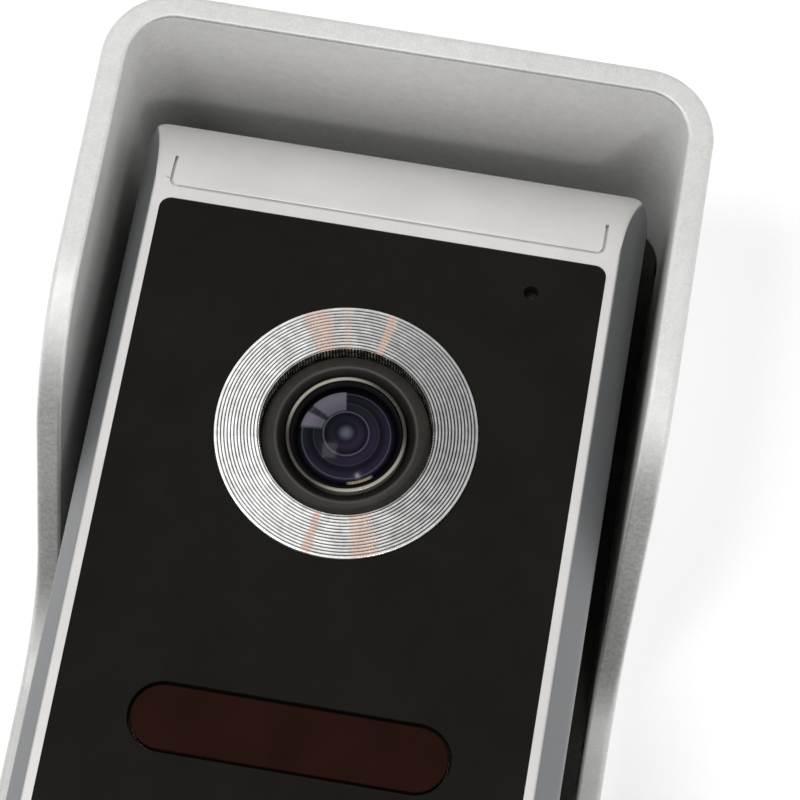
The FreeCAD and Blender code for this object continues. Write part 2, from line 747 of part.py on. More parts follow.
def make_rear_case():
    width = S.body_width - case_inset * 2
    height = (body_half - case_inset) * 2
    radius = S.body_corner - case_inset
    outer_loop = slab(width, height, radius, 0.0, S.body_middle)
    inner_loop = slab(width - S.body_wall * 2, height - S.body_wall * 2, radius - S.body_wall,
                      0.0, S.body_middle)
    deep = S.case_back - S.bezel_depth
    block_out = padded("case_block", [outer_loop], S.bezel_depth, deep)
    hollow = padded("case_hollow", [inner_loop], S.bezel_depth - 1, deep - S.body_wall + 1)
    shell = cut("case_shell", block_out, hollow)
    posts = rods("case_post", case_spots, 3.6, S.bezel_depth, deep - 0.5)
    standoffs = rods("case_standoff", board_spots, 2.6, board_back, case_floor - board_back + 0.5)
    boss = upright("case_lock_boss", [
        (0.0, case_bottom + 0.5), (4.0, case_bottom + 0.5), (4.0, case_bottom + 7.5),
        (0.0, case_bottom + 7.5),
    ], S.lock_screw_depth)
    solid = join("case_solid", shell, boss, *posts, *standoffs)
    lock_hole = upright("case_lock_hole", [
        (0.0, case_bottom - 1), (2.4 + S.thread_gap, case_bottom - 1),
        (2.4 + S.thread_gap, case_bottom + 6.0), (1.7, case_bottom + 6.0),
        (1.7, case_bottom + 8.5), (0.0, case_bottom + 8.5),
    ], S.lock_screw_depth)
    tools = [lock_hole]
    tools += rods("case_post_bore", case_spots, 1.5, S.bezel_depth - 1, deep + 2)
    tools += rods("case_post_sink", case_spots, 2.7, case_screw_seat, S.case_back)
    tools += rods("case_standoff_bore", board_spots, 0.9, board_back - 1, 4.5)
    tools.append(rod("case_cable_hole", S.cable_hole, case_floor - 1, S.body_wall + 2,
                     height=S.cable_height))
    tools.append(rod("case_trimmer_hole", 2.2, case_floor - 1, S.body_wall + 2,
                     S.trimmer_across, S.trimmer_height))
    for side in (-1, 1):
        label = "left" if side < 0 else "right"
        tools.append(block("case_hook_slot_" + label, S.hook_width + 1, S.body_wall + 2, 8.0,
                           case_floor - 1, side * S.hook_across, S.hook_height - 3.1))
    tools.append(padded("case_seal_groove", case_seal_loops(S.fit_gap), S.bezel_depth - 1, 2.0))
    piece(cut("rear_case", solid, *tools), "rear_case")


def case_seal_loops(gap):
    width = S.body_width - case_inset * 2 - 1.2
    height = (body_half - case_inset) * 2 - 1.2
    radius = S.body_corner - case_inset - 0.6
    outer = slab(width + gap, height + gap, radius + gap / 2, 0.0, S.body_middle)
    inner = slab(width - 1.6 - gap, height - 1.6 - gap, radius - 0.8 - gap / 2, 0.0, S.body_middle)
    return [outer, inner]


def make_case_seal():
    piece(padded("case_seal", case_seal_loops(sized(0.0)), S.bezel_depth, 0.9), "case_seal")


case_screw_seat = S.case_back - 14


def make_case_screws():
    made = []
    for number, (across, height) in enumerate(case_spots, 1):
        made.append(screw("case_screw_%d" % number, across, height, case_screw_seat + 2.0,
                          (2.4, 2.0), (1.08, case_screw_seat - S.bezel_depth + 6.0), -1))
    piece(group("case_screws", made), "case_screws")


def make_grommet():
    """Rubber grommet that grips the edge of the inlet in the rear case."""
    lip = S.cable_hole + 1.6
    neck = S.cable_hole - S.fit_gap
    corners = [
        (S.cable_bore, case_floor - 1.5), (lip, case_floor - 1.5), (lip, case_floor - 0.05),
        (neck, case_floor - 0.05), (neck, S.case_back + 0.05), (lip, S.case_back + 0.05),
        (lip, S.case_back + 0.95), (S.cable_bore, S.case_back + 0.95),
    ]
    piece(turned("cable_grommet", corners, S.cable_height), "cable_grommet")


# ---------------------------------------------------------------- front panel and its fittings

def speaker_slots():
    loops = []
    for number in range(4):
        height = S.speaker_height + S.slot_pitch * (number - 1.5)
        loops.append(stadium(S.slot_length, S.slot_tall, 0.0, height))
    return loops


def speaker_window():
    """The opening behind the slots, in the adhesive and in the bezel's floor."""
    tall = S.slot_pitch * 3 + S.slot_tall + 2
    return slab(S.slot_length + 2, tall, 1.0, 0.0, S.speaker_height)


def make_panel():
    ring_hole = Disc(S.ring_outer + S.fit_gap, 0.0, S.camera_height)
    window = stadium(S.window_length, S.window_tall, 0.0, S.window_height)
    button = Disc(light_ring_outer + S.fit_gap, 0.0, S.button_height)
    mic = Disc(S.mic_hole, S.mic_across, S.mic_height)
    outline = slab(S.panel_width, S.panel_height, S.panel_corner, 0.0, S.body_middle)
    loops = [outline, ring_hole, window, button, mic] + speaker_slots()
    piece(padded("front_panel", loops, 0.0, S.panel_thick), "front_panel")

    frame = slab(S.panel_width - 1, S.panel_height - 1, S.panel_corner, 0.0, S.body_middle)
    tape_loops = [
        frame, Disc(S.ring_outer + 1, 0.0, S.camera_height),
        stadium(S.window_length + 2, S.window_tall + 2, 0.0, S.window_height),
        Disc(light_ring_outer + 0.8, 0.0, S.button_height),
        Disc(S.mic_port, S.mic_across, S.mic_height), speaker_window(),
    ]
    piece(padded("panel_adhesive", tape_loops, S.panel_thick, S.tape_thick), "panel_adhesive")


GROOVES = 13


def make_ring():
    """The turned aluminium ring round the lens, with fine concentric grooves."""
    front = -S.ring_proud
    pitch = (S.ring_outer - S.ring_inner - 0.3) / GROOVES
    corners = [(S.ring_inner, front)]
    for number in range(GROOVES):
        start = S.ring_inner + 0.15 + pitch * number
        corners.append((start, front))
        corners.append((start + pitch * 0.3, front + S.ring_groove))
        corners.append((start + pitch * 0.6, front))
    seat = S.panel_thick + S.tape_thick
    corners += [(S.ring_outer, front), (S.ring_outer, seat), (S.ring_inner, seat)]
    piece(turned("camera_ring", corners, S.camera_height), "camera_ring")


barrel_front = sized(0.75)
barrel_flange = sized(4.2)


def make_lens():
    """Surround, barrel, glass and the pieces that hold it, all turned about the camera axis."""
    height = S.camera_height
    mouth = S.surround_radius
    bore = S.barrel_radius + S.fit_gap
    surround = [
        (bore, 1.9), (mouth - 0.15, 0.85), (mouth + 0.1, 0.75), (S.ring_inner - 0.12, 1.95),
        (S.ring_inner - 0.12, S.floor_back), (S.surround_flange, S.floor_back),
        (S.surround_flange, S.floor_back + 1.2), (bore, S.floor_back + 1.2),
    ]
    piece(turned("lens_surround", surround, height), "lens_surround")

    glass = S.glass_radius
    seat = glass + S.fit_gap
    thread = S.thread_radius
    rim = S.barrel_radius
    barrel = [
        (rim - 0.5, barrel_front), (rim - 0.12, barrel_front), (rim, barrel_front + 0.12),
        (rim, barrel_flange), (thread, barrel_flange), (thread, 17.0), (3.6, 17.0),
        (3.6, 9.5), (5.0, 9.5), (5.0, 4.6), (seat, 4.6), (seat, 2.2), (rim - 0.5, 2.2),
    ]
    piece(turned("lens_barrel", barrel, height), "lens_barrel")

    retainer = [
        (glass - 0.35, barrel_front + 0.5), (rim - 0.62, barrel_front + 0.1),
        (rim - 0.52, barrel_front + 0.25), (rim - 0.52, 2.15), (glass - 0.35, 2.15),
    ]
    piece(turned("lens_retainer", retainer, height), "lens_retainer")

    dome = S.glass_radius * 1.35
    sag = dome - root(dome * dome - (glass - 0.5) * (glass - 0.5))
    hollow = sized(4.4)
    hollow_sag = hollow - root(hollow * hollow - sized(12.25))
    front_glass = [
        (0.0, 2.2 - sag, dome), (glass - 0.5, 2.2), (glass, 2.3), (glass, 4.55),
        (3.5, 4.55, -hollow), (0.0, 4.55 - hollow_sag),
    ]
    piece(turned("lens_front_element", front_glass, height), "lens_front_element")

    baffle = [
        (3.1, 4.6), (4.95, 4.6), (4.95, 9.4), (1.5, 9.4), (1.5, 8.7), (1.9, 8.4), (2.5, 7.4),
        (2.8, 5.6),
    ]
    piece(turned("lens_baffle", baffle, height), "lens_baffle")

    ball = sized(5.0)
    rear_sag = ball - root(ball * ball - sized(12.25))
    rear = [
        (0.0, 10.9 - rear_sag, ball), (3.5, 10.9), (3.5, 13.5), (0.0, 13.5),
    ]
    piece(turned("lens_rear_element", rear, height), "lens_rear_element")


camera_screw_spots = [
    (-S.camera_board_size / 2 + 2.8, S.camera_height + S.camera_board_size / 2 - 2.8),
    (S.camera_board_size / 2 - 2.8, S.camera_height - S.camera_board_size / 2 + 2.8),
]
camera_board_back = S.camera_board_depth + S.board_thick


def make_camera():
    """Lens holder, image sensor and the board that carries them."""
    depth = S.camera_board_depth
    foot = block("holder_foot", 15.0, 4.0, 15.0, depth - 4, height=S.camera_height)
    neck = rod("holder_neck", S.thread_radius + 1.4, depth - 11, 8.0, height=S.camera_height)
    solid = join("holder_solid", foot, neck)
    bore = rod("holder_bore", S.thread_radius + S.thread_gap, depth - 12, 10.0,
               height=S.camera_height)
    room = block("holder_room", 10.4, 3.5, 10.4, depth - 3, height=S.camera_height)
    piece(cut("lens_holder", solid, bore, room), "lens_holder")
    piece(block("image_sensor", 8.0, 1.0, 7.4, depth - 1, height=S.camera_height), "image_sensor")

    size = S.camera_board_size
    loops = [slab(size, size, 1.5, 0.0, S.camera_height)]
    loops += [Disc(1.15, x, z) for x, z in camera_screw_spots]
    piece(padded("camera_board", loops, depth, S.board_thick), "camera_board")
    made = []
    for number, (x, z) in enumerate(camera_screw_spots, 1):
        made.append(screw("camera_board_screw_%d" % number, x, z, camera_board_back + 1.2,
                          (1.9, 1.2), (0.88, 5.6), -1))
    piece(group("camera_board_screws", made), "camera_board_screws")


led_screw_x = S.led_pitch * 3 + 3.2
led_screw_spots = [(-led_screw_x, S.window_height), (led_screw_x, S.window_height)]


def make_infrared():
    """The dark window, and behind it a row of LEDs and a light sensor on their board."""
    gap = S.window_gap * 2
    pane = stadium(S.window_length - gap, S.window_tall - gap, 0.0, S.window_height)
    piece(padded("ir_window", [pane], 0.15, S.panel_thick + S.tape_thick - 0.15), "ir_window")

    board = slab(led_screw_x * 2 + 5, 9.0, 1.5, 0.0, S.window_height)
    loops = [board] + [Disc(1.0, x, z) for x, z in led_screw_spots]
    piece(padded("ir_led_board", loops, S.led_board_depth, S.board_thick), "ir_led_board")

    base = S.led_board_depth
    radius = S.led_radius
    leds = []
    for number in range(5):
        across = S.led_pitch * (number - 2.5)
        profile = [
            (0.0, base - 4.6, radius), (radius, base - 4.6 + radius), (radius, base - 1.0),
            (radius + 0.35, base - 1.0), (radius + 0.35, base), (0.0, base),
        ]
        leds.append(turned("ir_led_%d" % (number + 1), profile, S.window_height, across))
    piece(group("ir_leds", leds), "ir_leds")

    sensor = [
        (0.0, base - 2.4), (1.9, base - 2.4), (2.3, base - 2.0), (2.3, base), (0.0, base),
    ]
    piece(turned("light_sensor", sensor, S.window_height, S.led_pitch * 2.5), "light_sensor")
    made = []
    for number, (x, z) in enumerate(led_screw_spots, 1):
        made.append(screw("ir_board_screw_%d" % number, x, z, base + S.board_thick + 1.1,
                          (1.7, 1.1), (0.78, 4.0), -1))
    piece(group("ir_board_screws", made), "ir_board_screws")


def make_microphone():
    back = S.floor_back
    outer = S.mic_capsule + 1.5
    boot = [
        (0.8, back), (outer, back), (outer, back + 4.6), (S.mic_capsule + 0.02, back + 4.6),
        (S.mic_capsule + 0.02, back + 1.4), (0.8, back + 1.4),
    ]
    piece(turned("microphone_boot", boot, S.mic_height, S.mic_across), "microphone_boot")
    capsule = [
        (0.0, back + 1.7), (0.9, back + 1.7), (0.9, back + 1.45), (S.mic_capsule - 0.2, back + 1.45),
        (S.mic_capsule, back + 1.65), (S.mic_capsule, back + 4.2), (0.0, back + 4.2),
    ]
    piece(turned("microphone_capsule", capsule, S.mic_height, S.mic_across), "microphone_capsule")


# ---------------------------------------------------------------- call button

flange_radius = S.button_radius + S.button_flange
light_ring_outer = S.button_radius + S.button_gap + S.light_ring
cap_inside = -S.button_proud + 2.6
flange_front = sized(4.6)
flange_back = flange_front + 1.0
plunger_front = sized(8.9)
stem_end = plunger_front - S.switch_gap
switch_front = S.button_board_depth - 3.4
button_screw_x = S.button_radius + 5.2
button_screw_spots = [(-button_screw_x, S.button_height), (button_screw_x, S.button_height)]


def bell_corners(grow):
    """A plain bell sign: crown, flared skirt and base, in the button's own frame."""
    return [
        (-3.6 - grow, -2.3 - grow), (3.6 + grow, -2.3 - grow), (3.6 + grow, -1.5 + grow),
        (2.6 + grow, -0.5 + grow), (2.6 + grow, 0.8, 2.6 + grow), (0.0, 3.4 + grow, 2.6 + grow),
        (-2.6 - grow, 0.8), (-2.6 - grow, -0.5 + grow), (-3.6 - grow, -1.5 + grow),
    ]


def make_button():
    radius = S.button_radius
    front = -S.button_proud
    crown = radius * 6
    fall = crown - root(crown * crown - (radius - 0.6) * (radius - 0.6))
    cap_profile = [
        (0.0, front, crown), (radius - 0.6, front + fall), (radius, front + fall + 0.6),
        (radius, flange_front), (flange_radius, flange_front), (flange_radius, flange_back),
        (radius - 1.6, flange_back), (radius - 1.6, cap_inside), (1.9, cap_inside),
        (1.9, stem_end), (0.0, stem_end),
    ]
    blank = turned("button_blank", cap_profile, S.button_height)
    well = padded("button_icon_well", [bell_corners(sized(0.03))], front - 1, 1.75)
    put(well, 0.0, row_y(front + 0.75), S.button_height)
    clapper_well = rod("button_clapper_well", 0.83, front - 1, 1.75, 0.0, S.button_height - 3.5)
    piece(cut("call_button", blank, well, clapper_well), "call_button")

    bell = padded("bell_plate", [bell_corners(sized(0.0))], front, 0.7)
    put(bell, 0.0, row_y(front + 0.72), S.button_height)
    clapper = rod("bell_clapper", 0.8, front + 0.1, 0.62, 0.0, S.button_height - 3.5)
    piece(group("button_icon", [bell, clapper]), "button_icon")

    inner = radius + S.button_gap
    outer = light_ring_outer
    ring = [
        (inner, -0.1), (inner + 0.2, -0.3), (outer - 0.2, -0.3), (outer, -0.1),
        (outer, S.panel_thick + S.tape_thick), (outer - 0.9, S.panel_thick + S.tape_thick),
        (outer - 0.9, flange_front - 0.3), (inner, flange_front - 0.3),
    ]
    piece(turned("button_light_ring", ring, S.button_height), "button_light_ring")


def make_button_board():
    depth = S.button_board_depth
    loops = [slab(button_screw_x * 2 + 4.6, S.button_radius * 2 + 4, 2.0, 0.0, S.button_height)]
    loops += [Disc(1.15, x, z) for x, z in button_screw_spots]
    piece(padded("button_board", loops, depth, S.board_thick), "button_board")
    made = []
    for number, (x, z) in enumerate(button_screw_spots, 1):
        made.append(screw("button_board_screw_%d" % number, x, z, depth + S.board_thick + 1.2,
                          (1.9, 1.2), (0.88, 5.0), -1))
    piece(group("button_board_screws", made), "button_board_screws")
    lamps = []
    lamp_circle = S.button_radius - 0.6
    for number in range(4):
        angle = math.radians(45 + 90 * number)
        lamps.append(block("button_led_%d" % (number + 1), 2.6, 1.4, 2.6, depth - 1.4,
                           lamp_circle * math.cos(angle),
                           S.button_height + lamp_circle * math.sin(angle)))
    piece(group("button_leds", lamps), "button_leds")

    housing = block("switch_housing", 6.0, depth - switch_front, 6.0, switch_front,
                    height=S.button_height)
    bore = rod("switch_bore", S.plunger_radius + 0.06, switch_front - 1, 3.4,
               height=S.button_height)
    piece(cut("switch_body", housing, bore), "switch_body")
    plunger = [
        (0.0, plunger_front), (S.plunger_radius - 0.2, plunger_front),
        (S.plunger_radius, plunger_front + 0.2), (S.plunger_radius, switch_front + 1.6),
        (0.0, switch_front + 1.6),
    ]
    piece(turned("switch_plunger", plunger, S.button_height), "switch_plunger")


SPRING_TURNS = 4
WIRE_SIDES = 8


def make_button_spring():
    """A wire coil between the inside of the cap and the button board; its wire has flat sides."""
    wire = 0.25
    radius = 5.6
    rest_gap = 0.05
    start = (cap_inside + wire + rest_gap).value
    length = (S.button_board_depth - cap_inside).value - 2 * (wire + rest_gap)
    helix = Part.makeHelix(length / SPRING_TURNS, length, radius)
    corners = []
    for number in range(WIRE_SIDES + 1):
        angle = 2 * math.pi * (number + 0.5) / WIRE_SIDES
        corners.append(Vector(radius + wire * math.cos(angle), 0, wire * math.sin(angle)))
    section = Part.makePolygon(corners)
    spring = doc.addObject("Part::Feature", "button_spring")
    spring.Shape = Part.Wire(helix.Edges).makePipeShell([section], True, True)
    turn = FreeCAD.Rotation(Vector(1, 0, 0), -90)
    place = Vector(0, row_y(start).value, S.button_height.value)
    spring.Placement = FreeCAD.Placement(place, turn)
    piece(spring, "button_spring")


# ---------------------------------------------------------------- loudspeaker

def make_speaker():
    height = S.speaker_height
    radius = S.speaker_radius
    start = S.floor_back
    piece(padded("speaker_mesh", [Disc(radius, 0.0, height)], start, 0.25), "speaker_mesh")
    gasket = [Disc(radius, 0.0, height), Disc(radius - 1.6, 0.0, height)]
    piece(padded("speaker_gasket", gasket, start + 0.25, 0.8), "speaker_gasket")
    seat = start + 1.05
    frame = [
        (radius - 1.8, seat), (radius, seat), (radius, seat + 0.9), (radius - 1.6, seat + 0.9),
        (7.4, seat + 4.4), (6.0, seat + 4.4), (6.0, seat + 3.6), (6.9, seat + 3.6),
        (radius - 1.8, seat + 0.7),
    ]
    piece(turned("speaker_frame", frame, height), "speaker_frame")
    dome = sized(7.0)
    dome_sag = dome - root(dome * dome - sized(4.2) * 4.2)
    film = sized(0.3)
    cone = [
        (0.0, seat + 1.2, dome), (4.2, seat + 1.2 + dome_sag), (radius - 2.0, seat + 0.3),
        (radius - 2.0, seat + 0.3 + film), (4.2, seat + 1.2 + dome_sag + film, -dome),
        (0.0, seat + 1.2 + film),
    ]
    piece(turned("speaker_cone", cone, height), "speaker_cone")
    magnet = [
        (0.0, seat + 4.4), (6.9, seat + 4.4), (7.0, seat + 4.5), (7.0, seat + 7.1),
        (6.7, seat + 7.4), (0.0, seat + 7.4),
    ]
    piece(turned("speaker_magnet", magnet, height), "speaker_magnet")


# ---------------------------------------------------------------- main board and what is on it

board_spots = four_corners(20.5, S.main_board_height / 2 - 4, S.body_middle)
board_back = S.main_board_depth + S.main_board_thick


def make_main_board():
    loops = [slab(S.main_board_width, S.main_board_height, 2.0, 0.0, S.body_middle)]
    loops += [Disc(1.2, x, z) for x, z in board_spots]
    piece(padded("main_board", loops, S.main_board_depth, S.main_board_thick), "main_board")
    front = S.main_board_depth
    made = []
    for number, (x, z) in enumerate(board_spots, 1):
        made.append(screw("main_board_screw_%d" % number, x, z, front - 1.3, (2.0, 1.3),
                          (0.88, 4.4)))
    piece(group("main_board_screws", made), "main_board_screws")

    chips = [
        block("chip_video", 10.0, 1.4, 10.0, front - 1.4, -13.0, 22.0),
        block("chip_control", 7.0, 1.4, 7.0, front - 1.4, 11.0, 26.0),
        block("chip_audio", 5.0, 1.6, 6.2, front - 1.6, -15.0, -34.0),
        block("chip_power", 6.0, 2.2, 6.5, front - 2.2, -17.0, -10.0),
    ]
    piece(group("board_chips", chips), "board_chips")

    cans = []
    for number, (x, z, radius, tall) in enumerate((
            (-18.0, 3.0, 3.15, 7.0), (-10.5, 3.0, 3.15, 7.0), (17.0, -38.0, 4.0, 8.5)), 1):
        profile = [
            (0.0, front - tall), (radius - 0.5, front - tall), (radius, front - tall + 0.5),
            (radius, front - 1.9), (radius - 0.25, front - 1.6), (radius, front - 1.3),
            (radius, front), (0.0, front),
        ]
        cans.append(turned("capacitor_%d" % number, profile, z, x))
    piece(group("capacitors", cans), "capacitors")

    relay = block("relay_box", 15.2, 9.5, 7.4, front - 9.5, 13.0, -20.0)
    relay_edges = doc.addObject("Part::Fillet", "lock_relay")
    relay_edges.Base = relay
    relay_edges.Edges = [(number, 0.5, 0.5) for number in (1, 3, 5, 7)]
    piece(relay_edges, "lock_relay")

    headers = [
        block("header_camera", 11.0, 2.0, 4.0, front - 2.0, 0.0, ribbon_foot),
        block("header_speaker", 6.0, 4.0, 4.5, front - 4.0, 6.0, S.speaker_height + 3),
        block("header_microphone", 6.0, 4.0, 4.5, front - 4.0, S.mic_across, S.mic_height - 9),
        block("header_button", 9.0, 4.0, 4.5, front - 4.0, -4.0, S.button_height - 2),
        block("header_lens", 11.0, 1.5, 4.0, camera_board_back, 0.0, ribbon_head),
    ]
    piece(group("board_headers", headers), "board_headers")


def make_socket():
    """A four-way plug socket on the back of the main board, opening up towards the inlet."""
    thick = case_floor - board_back - 0.9
    height = S.cable_height - 16
    body = block("socket_body", 12.0, thick, 8.0, board_back, 0.0, height)
    mouths = []
    for number in range(4):
        across = -4.2 + 2.8 * number
        mouths.append(block("socket_mouth_%d" % (number + 1), 1.8, thick - 0.8, 6.0,
                            board_back + 0.4, across, height + 3.0))
    piece(cut("cable_socket", body, *mouths), "cable_socket")


ribbon_head = S.camera_height - 9
ribbon_foot = S.camera_height - 24
ribbon_thick = sized(0.3)


def make_ribbon():
    """The flat cable that steps back from the camera board to the main board."""
    near = camera_board_back + 0.9
    far = S.main_board_depth - 1.4
    turn = sized(1.2)
    top = ribbon_head - 2
    middle = (ribbon_head + ribbon_foot) / 2
    half = ribbon_thick / 2
    out = turn + half
    ins = turn - half
    a = row_y(near)
    b = row_y(far)
    corners = [
        (a - half, top), (a - half, middle + turn, out), (a + turn, middle - half),
        (b - turn, middle - half, -ins), (b - half, middle - turn), (b - half, ribbon_foot + 2),
        (b + half, ribbon_foot + 2), (b + half, middle - turn, out), (b - turn, middle + half),
        (a + turn, middle + half, -ins), (a + half, middle + turn), (a + half, top),
    ]
    piece(profiled("camera_ribbon", corners, 8.0), "camera_ribbon")


def lead(name, across, start, end, radius, bend):
    """One insulated wire: out of a part, round a bend, across, and into its header."""
    y0, z0 = start
    y1, z1 = end
    sign = 1.0 if z1 > z0 else -1.0
    middle = (y0 + y1) / 2
    p = [
        Vector(across, y0, z0), Vector(across, middle - bend, z0),
        Vector(across, middle, z0 + sign * bend), Vector(across, middle, z1 - sign * bend),
        Vector(across, middle + bend, z1), Vector(across, y1, z1),
    ]
    cut_corner = bend * (1 - math.sqrt(0.5))
    first = Vector(across, middle - cut_corner, z0 + sign * cut_corner)
    second = Vector(across, middle + cut_corner, z1 - sign * cut_corner)
    edges = [
        Part.LineSegment(p[0], p[1]).toShape(), Part.Arc(p[1], first, p[2]).toShape(),
        Part.LineSegment(p[2], p[3]).toShape(), Part.Arc(p[3], second, p[4]).toShape(),
        Part.LineSegment(p[4], p[5]).toShape(),
    ]
    circle = Part.Wire([Part.makeCircle(radius, p[0], Vector(0, 1, 0))])
    wire = doc.addObject("Part::Feature", name)
    wire.Shape = Part.Wire(edges).makePipeShell([circle], True, True)
    return wire


def lead_pair(name, across, start, end, bend):
    """Two leads side by side, 1.6 mm apart."""
    start = (row_y(start[0]).value, sized(start[1]).value)
    end = (row_y(end[0]).value, sized(end[1]).value)
    wires = []
    for number, shift in enumerate((-0.8, 0.8), 1):
        wires.append(lead("%s_%d" % (name, number), sized(across).value + shift, start, end,
                          0.55, bend))
    piece(group(name, wires), name)


def make_leads():
    header = S.main_board_depth - 4
    lead_pair("speaker_leads", 6.0, (S.floor_back + 4.3, S.speaker_height - 7),
              (header, S.speaker_height + 3), 2.0)
    lead_pair("microphone_leads", S.mic_across, (S.floor_back + 4.2, S.mic_height),
              (header, S.mic_height - 9), 2.0)


def make_trimmer():
    """Volume trimmer on the back of the main board, turned through a hole in the rear case."""
    body = block("trimmer_block", 6.6, 2.6, 6.6, board_back, S.trimmer_across, S.trimmer_height)
    bore = rod("trimmer_bore", 2.1, board_back + 0.8, 3.0, S.trimmer_across, S.trimmer_height)
    piece(cut("volume_trimmer_body", body, bore), "volume_trimmer_body")
    dial = rod("trimmer_dial", 2.05, board_back + 0.9, 2.3, S.trimmer_across, S.trimmer_height)
    slot = block("trimmer_slot", 0.6, 1.0, 3.0, board_back + 2.4, S.trimmer_across,
                 S.trimmer_height)
    piece(cut("volume_trimmer_rotor", dial, slot), "volume_trimmer_rotor")


def build():
    make_hood()
    make_wall_seal()
    make_pad()
    make_bracket()
    make_bracket_screws()
    make_lock()
    make_bezel()
    make_rear_case()
    make_case_seal()
    make_case_screws()
    make_grommet()
    make_panel()
    make_ring()
    make_lens()
    make_camera()
    make_infrared()
    make_microphone()
    make_button()
    make_button_board()
    make_button_spring()
    make_speaker()
    make_main_board()
    make_socket()
    make_ribbon()
    make_leads()
    make_trimmer()
    doc.recompute()


def check():
    """Stop unless every object is computed and every sub-part is a valid shape."""
    for thing in doc.Objects:
        if "Invalid" in thing.State or "Error" in thing.State:
            raise RuntimeError("%s is %s" % (thing.Name, thing.State))
    for thing in pieces:
        shape = thing.Shape
        if shape.isNull() or not shape.isValid() or not shape.Solids:
            raise RuntimeError("%s has no valid solid" % thing.Label)


def write():
    os.makedirs("parts", exist_ok=True)
    for thing in pieces:
        thing.Shape.exportStep(os.path.join("parts", thing.Label + ".step"))
    print("%d sub-parts written" % len(pieces))


build()
check()
write()
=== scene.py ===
"""Looks of a door intercom station in its rain hood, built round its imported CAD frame.

Metres, +Z up, the front looks towards -Y. The wall plane is y = 0.
"""

import bmesh
import bpy
import json
import math
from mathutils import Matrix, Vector


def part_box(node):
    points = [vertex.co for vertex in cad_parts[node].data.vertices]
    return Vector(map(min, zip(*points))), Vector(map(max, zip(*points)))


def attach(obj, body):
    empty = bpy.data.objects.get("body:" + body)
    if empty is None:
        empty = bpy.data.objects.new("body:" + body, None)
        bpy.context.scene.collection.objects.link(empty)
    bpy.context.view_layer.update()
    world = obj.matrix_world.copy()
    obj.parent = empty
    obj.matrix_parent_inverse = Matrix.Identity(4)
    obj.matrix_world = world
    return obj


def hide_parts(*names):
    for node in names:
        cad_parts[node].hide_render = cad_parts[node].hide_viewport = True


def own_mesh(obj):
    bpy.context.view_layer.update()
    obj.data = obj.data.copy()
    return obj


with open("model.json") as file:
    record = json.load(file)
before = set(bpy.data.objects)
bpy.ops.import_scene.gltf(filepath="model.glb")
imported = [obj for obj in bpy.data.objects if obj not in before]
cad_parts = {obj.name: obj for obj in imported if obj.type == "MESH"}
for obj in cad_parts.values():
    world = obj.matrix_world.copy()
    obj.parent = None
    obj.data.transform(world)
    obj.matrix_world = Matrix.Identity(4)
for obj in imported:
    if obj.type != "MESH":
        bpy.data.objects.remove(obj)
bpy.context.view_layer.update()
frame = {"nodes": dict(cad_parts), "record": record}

MM = 0.001
STATION = "station"


# ---------------------------------------------------------------- places taken from the frame

def middle(node):
    low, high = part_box(node)
    return (low + high) / 2


def half_width(node):
    low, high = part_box(node)
    return (high.x - low.x) / 2


PANEL_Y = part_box("front_panel")[0].y
LENS = Vector((0.0, PANEL_Y, middle("camera_ring").z))
BUTTON = Vector((0.0, PANEL_Y, middle("call_button").z))
SPEAKER = Vector((0.0, PANEL_Y, middle("speaker_mesh").z))
CABLE_Z = middle("cable_grommet").z

RING_OUTER = half_width("camera_ring")
RING_INNER = 9.8 * MM
RING_EDGE = 0.15 * MM
RING_GROOVES = 13
RING_PITCH = (RING_OUTER - RING_INNER - 2 * RING_EDGE) / RING_GROOVES
RING_TEETH = 170
BARREL_LIP = 6.9 * MM
SURROUND_MOUTH = 8.05 * MM


# ---------------------------------------------------------------- shader helpers

# Most values of a noise texture lie between these two.
NOISE_LOW, NOISE_HIGH = 0.3, 0.7


class Nodes:
    """The node tree of a material or a world, with short names for what is used here."""

    def __init__(self, holder):
        holder.use_nodes = True
        self.tree = holder.node_tree

    def node(self, kind, **settings):
        made = self.tree.nodes.new("ShaderNode" + kind)
        for key, value in settings.items():
            setattr(made, key, value)
        return made

    def join(self, source, target):
        self.tree.links.new(source, target)

    def put(self, value, target):
        """Join an output to a socket, or set the socket to a number or a colour."""
        if isinstance(value, (int, float)):
            target.default_value = value
        elif isinstance(value, tuple):
            target.default_value = (*value, 1.0) if target.type == "RGBA" else value
        else:
            self.join(value, target)

    def math(self, operation, first, second=None, clamp=False):
        made = self.node("Math", operation=operation, use_clamp=clamp)
        self.put(first, made.inputs[0])
        if second is not None:
            self.put(second, made.inputs[1])
        return made.outputs["Value"]

    def strongest(self, values):
        most = values[0]
        for value in values[1:]:
            most = self.math("MAXIMUM", most, value)
        return most


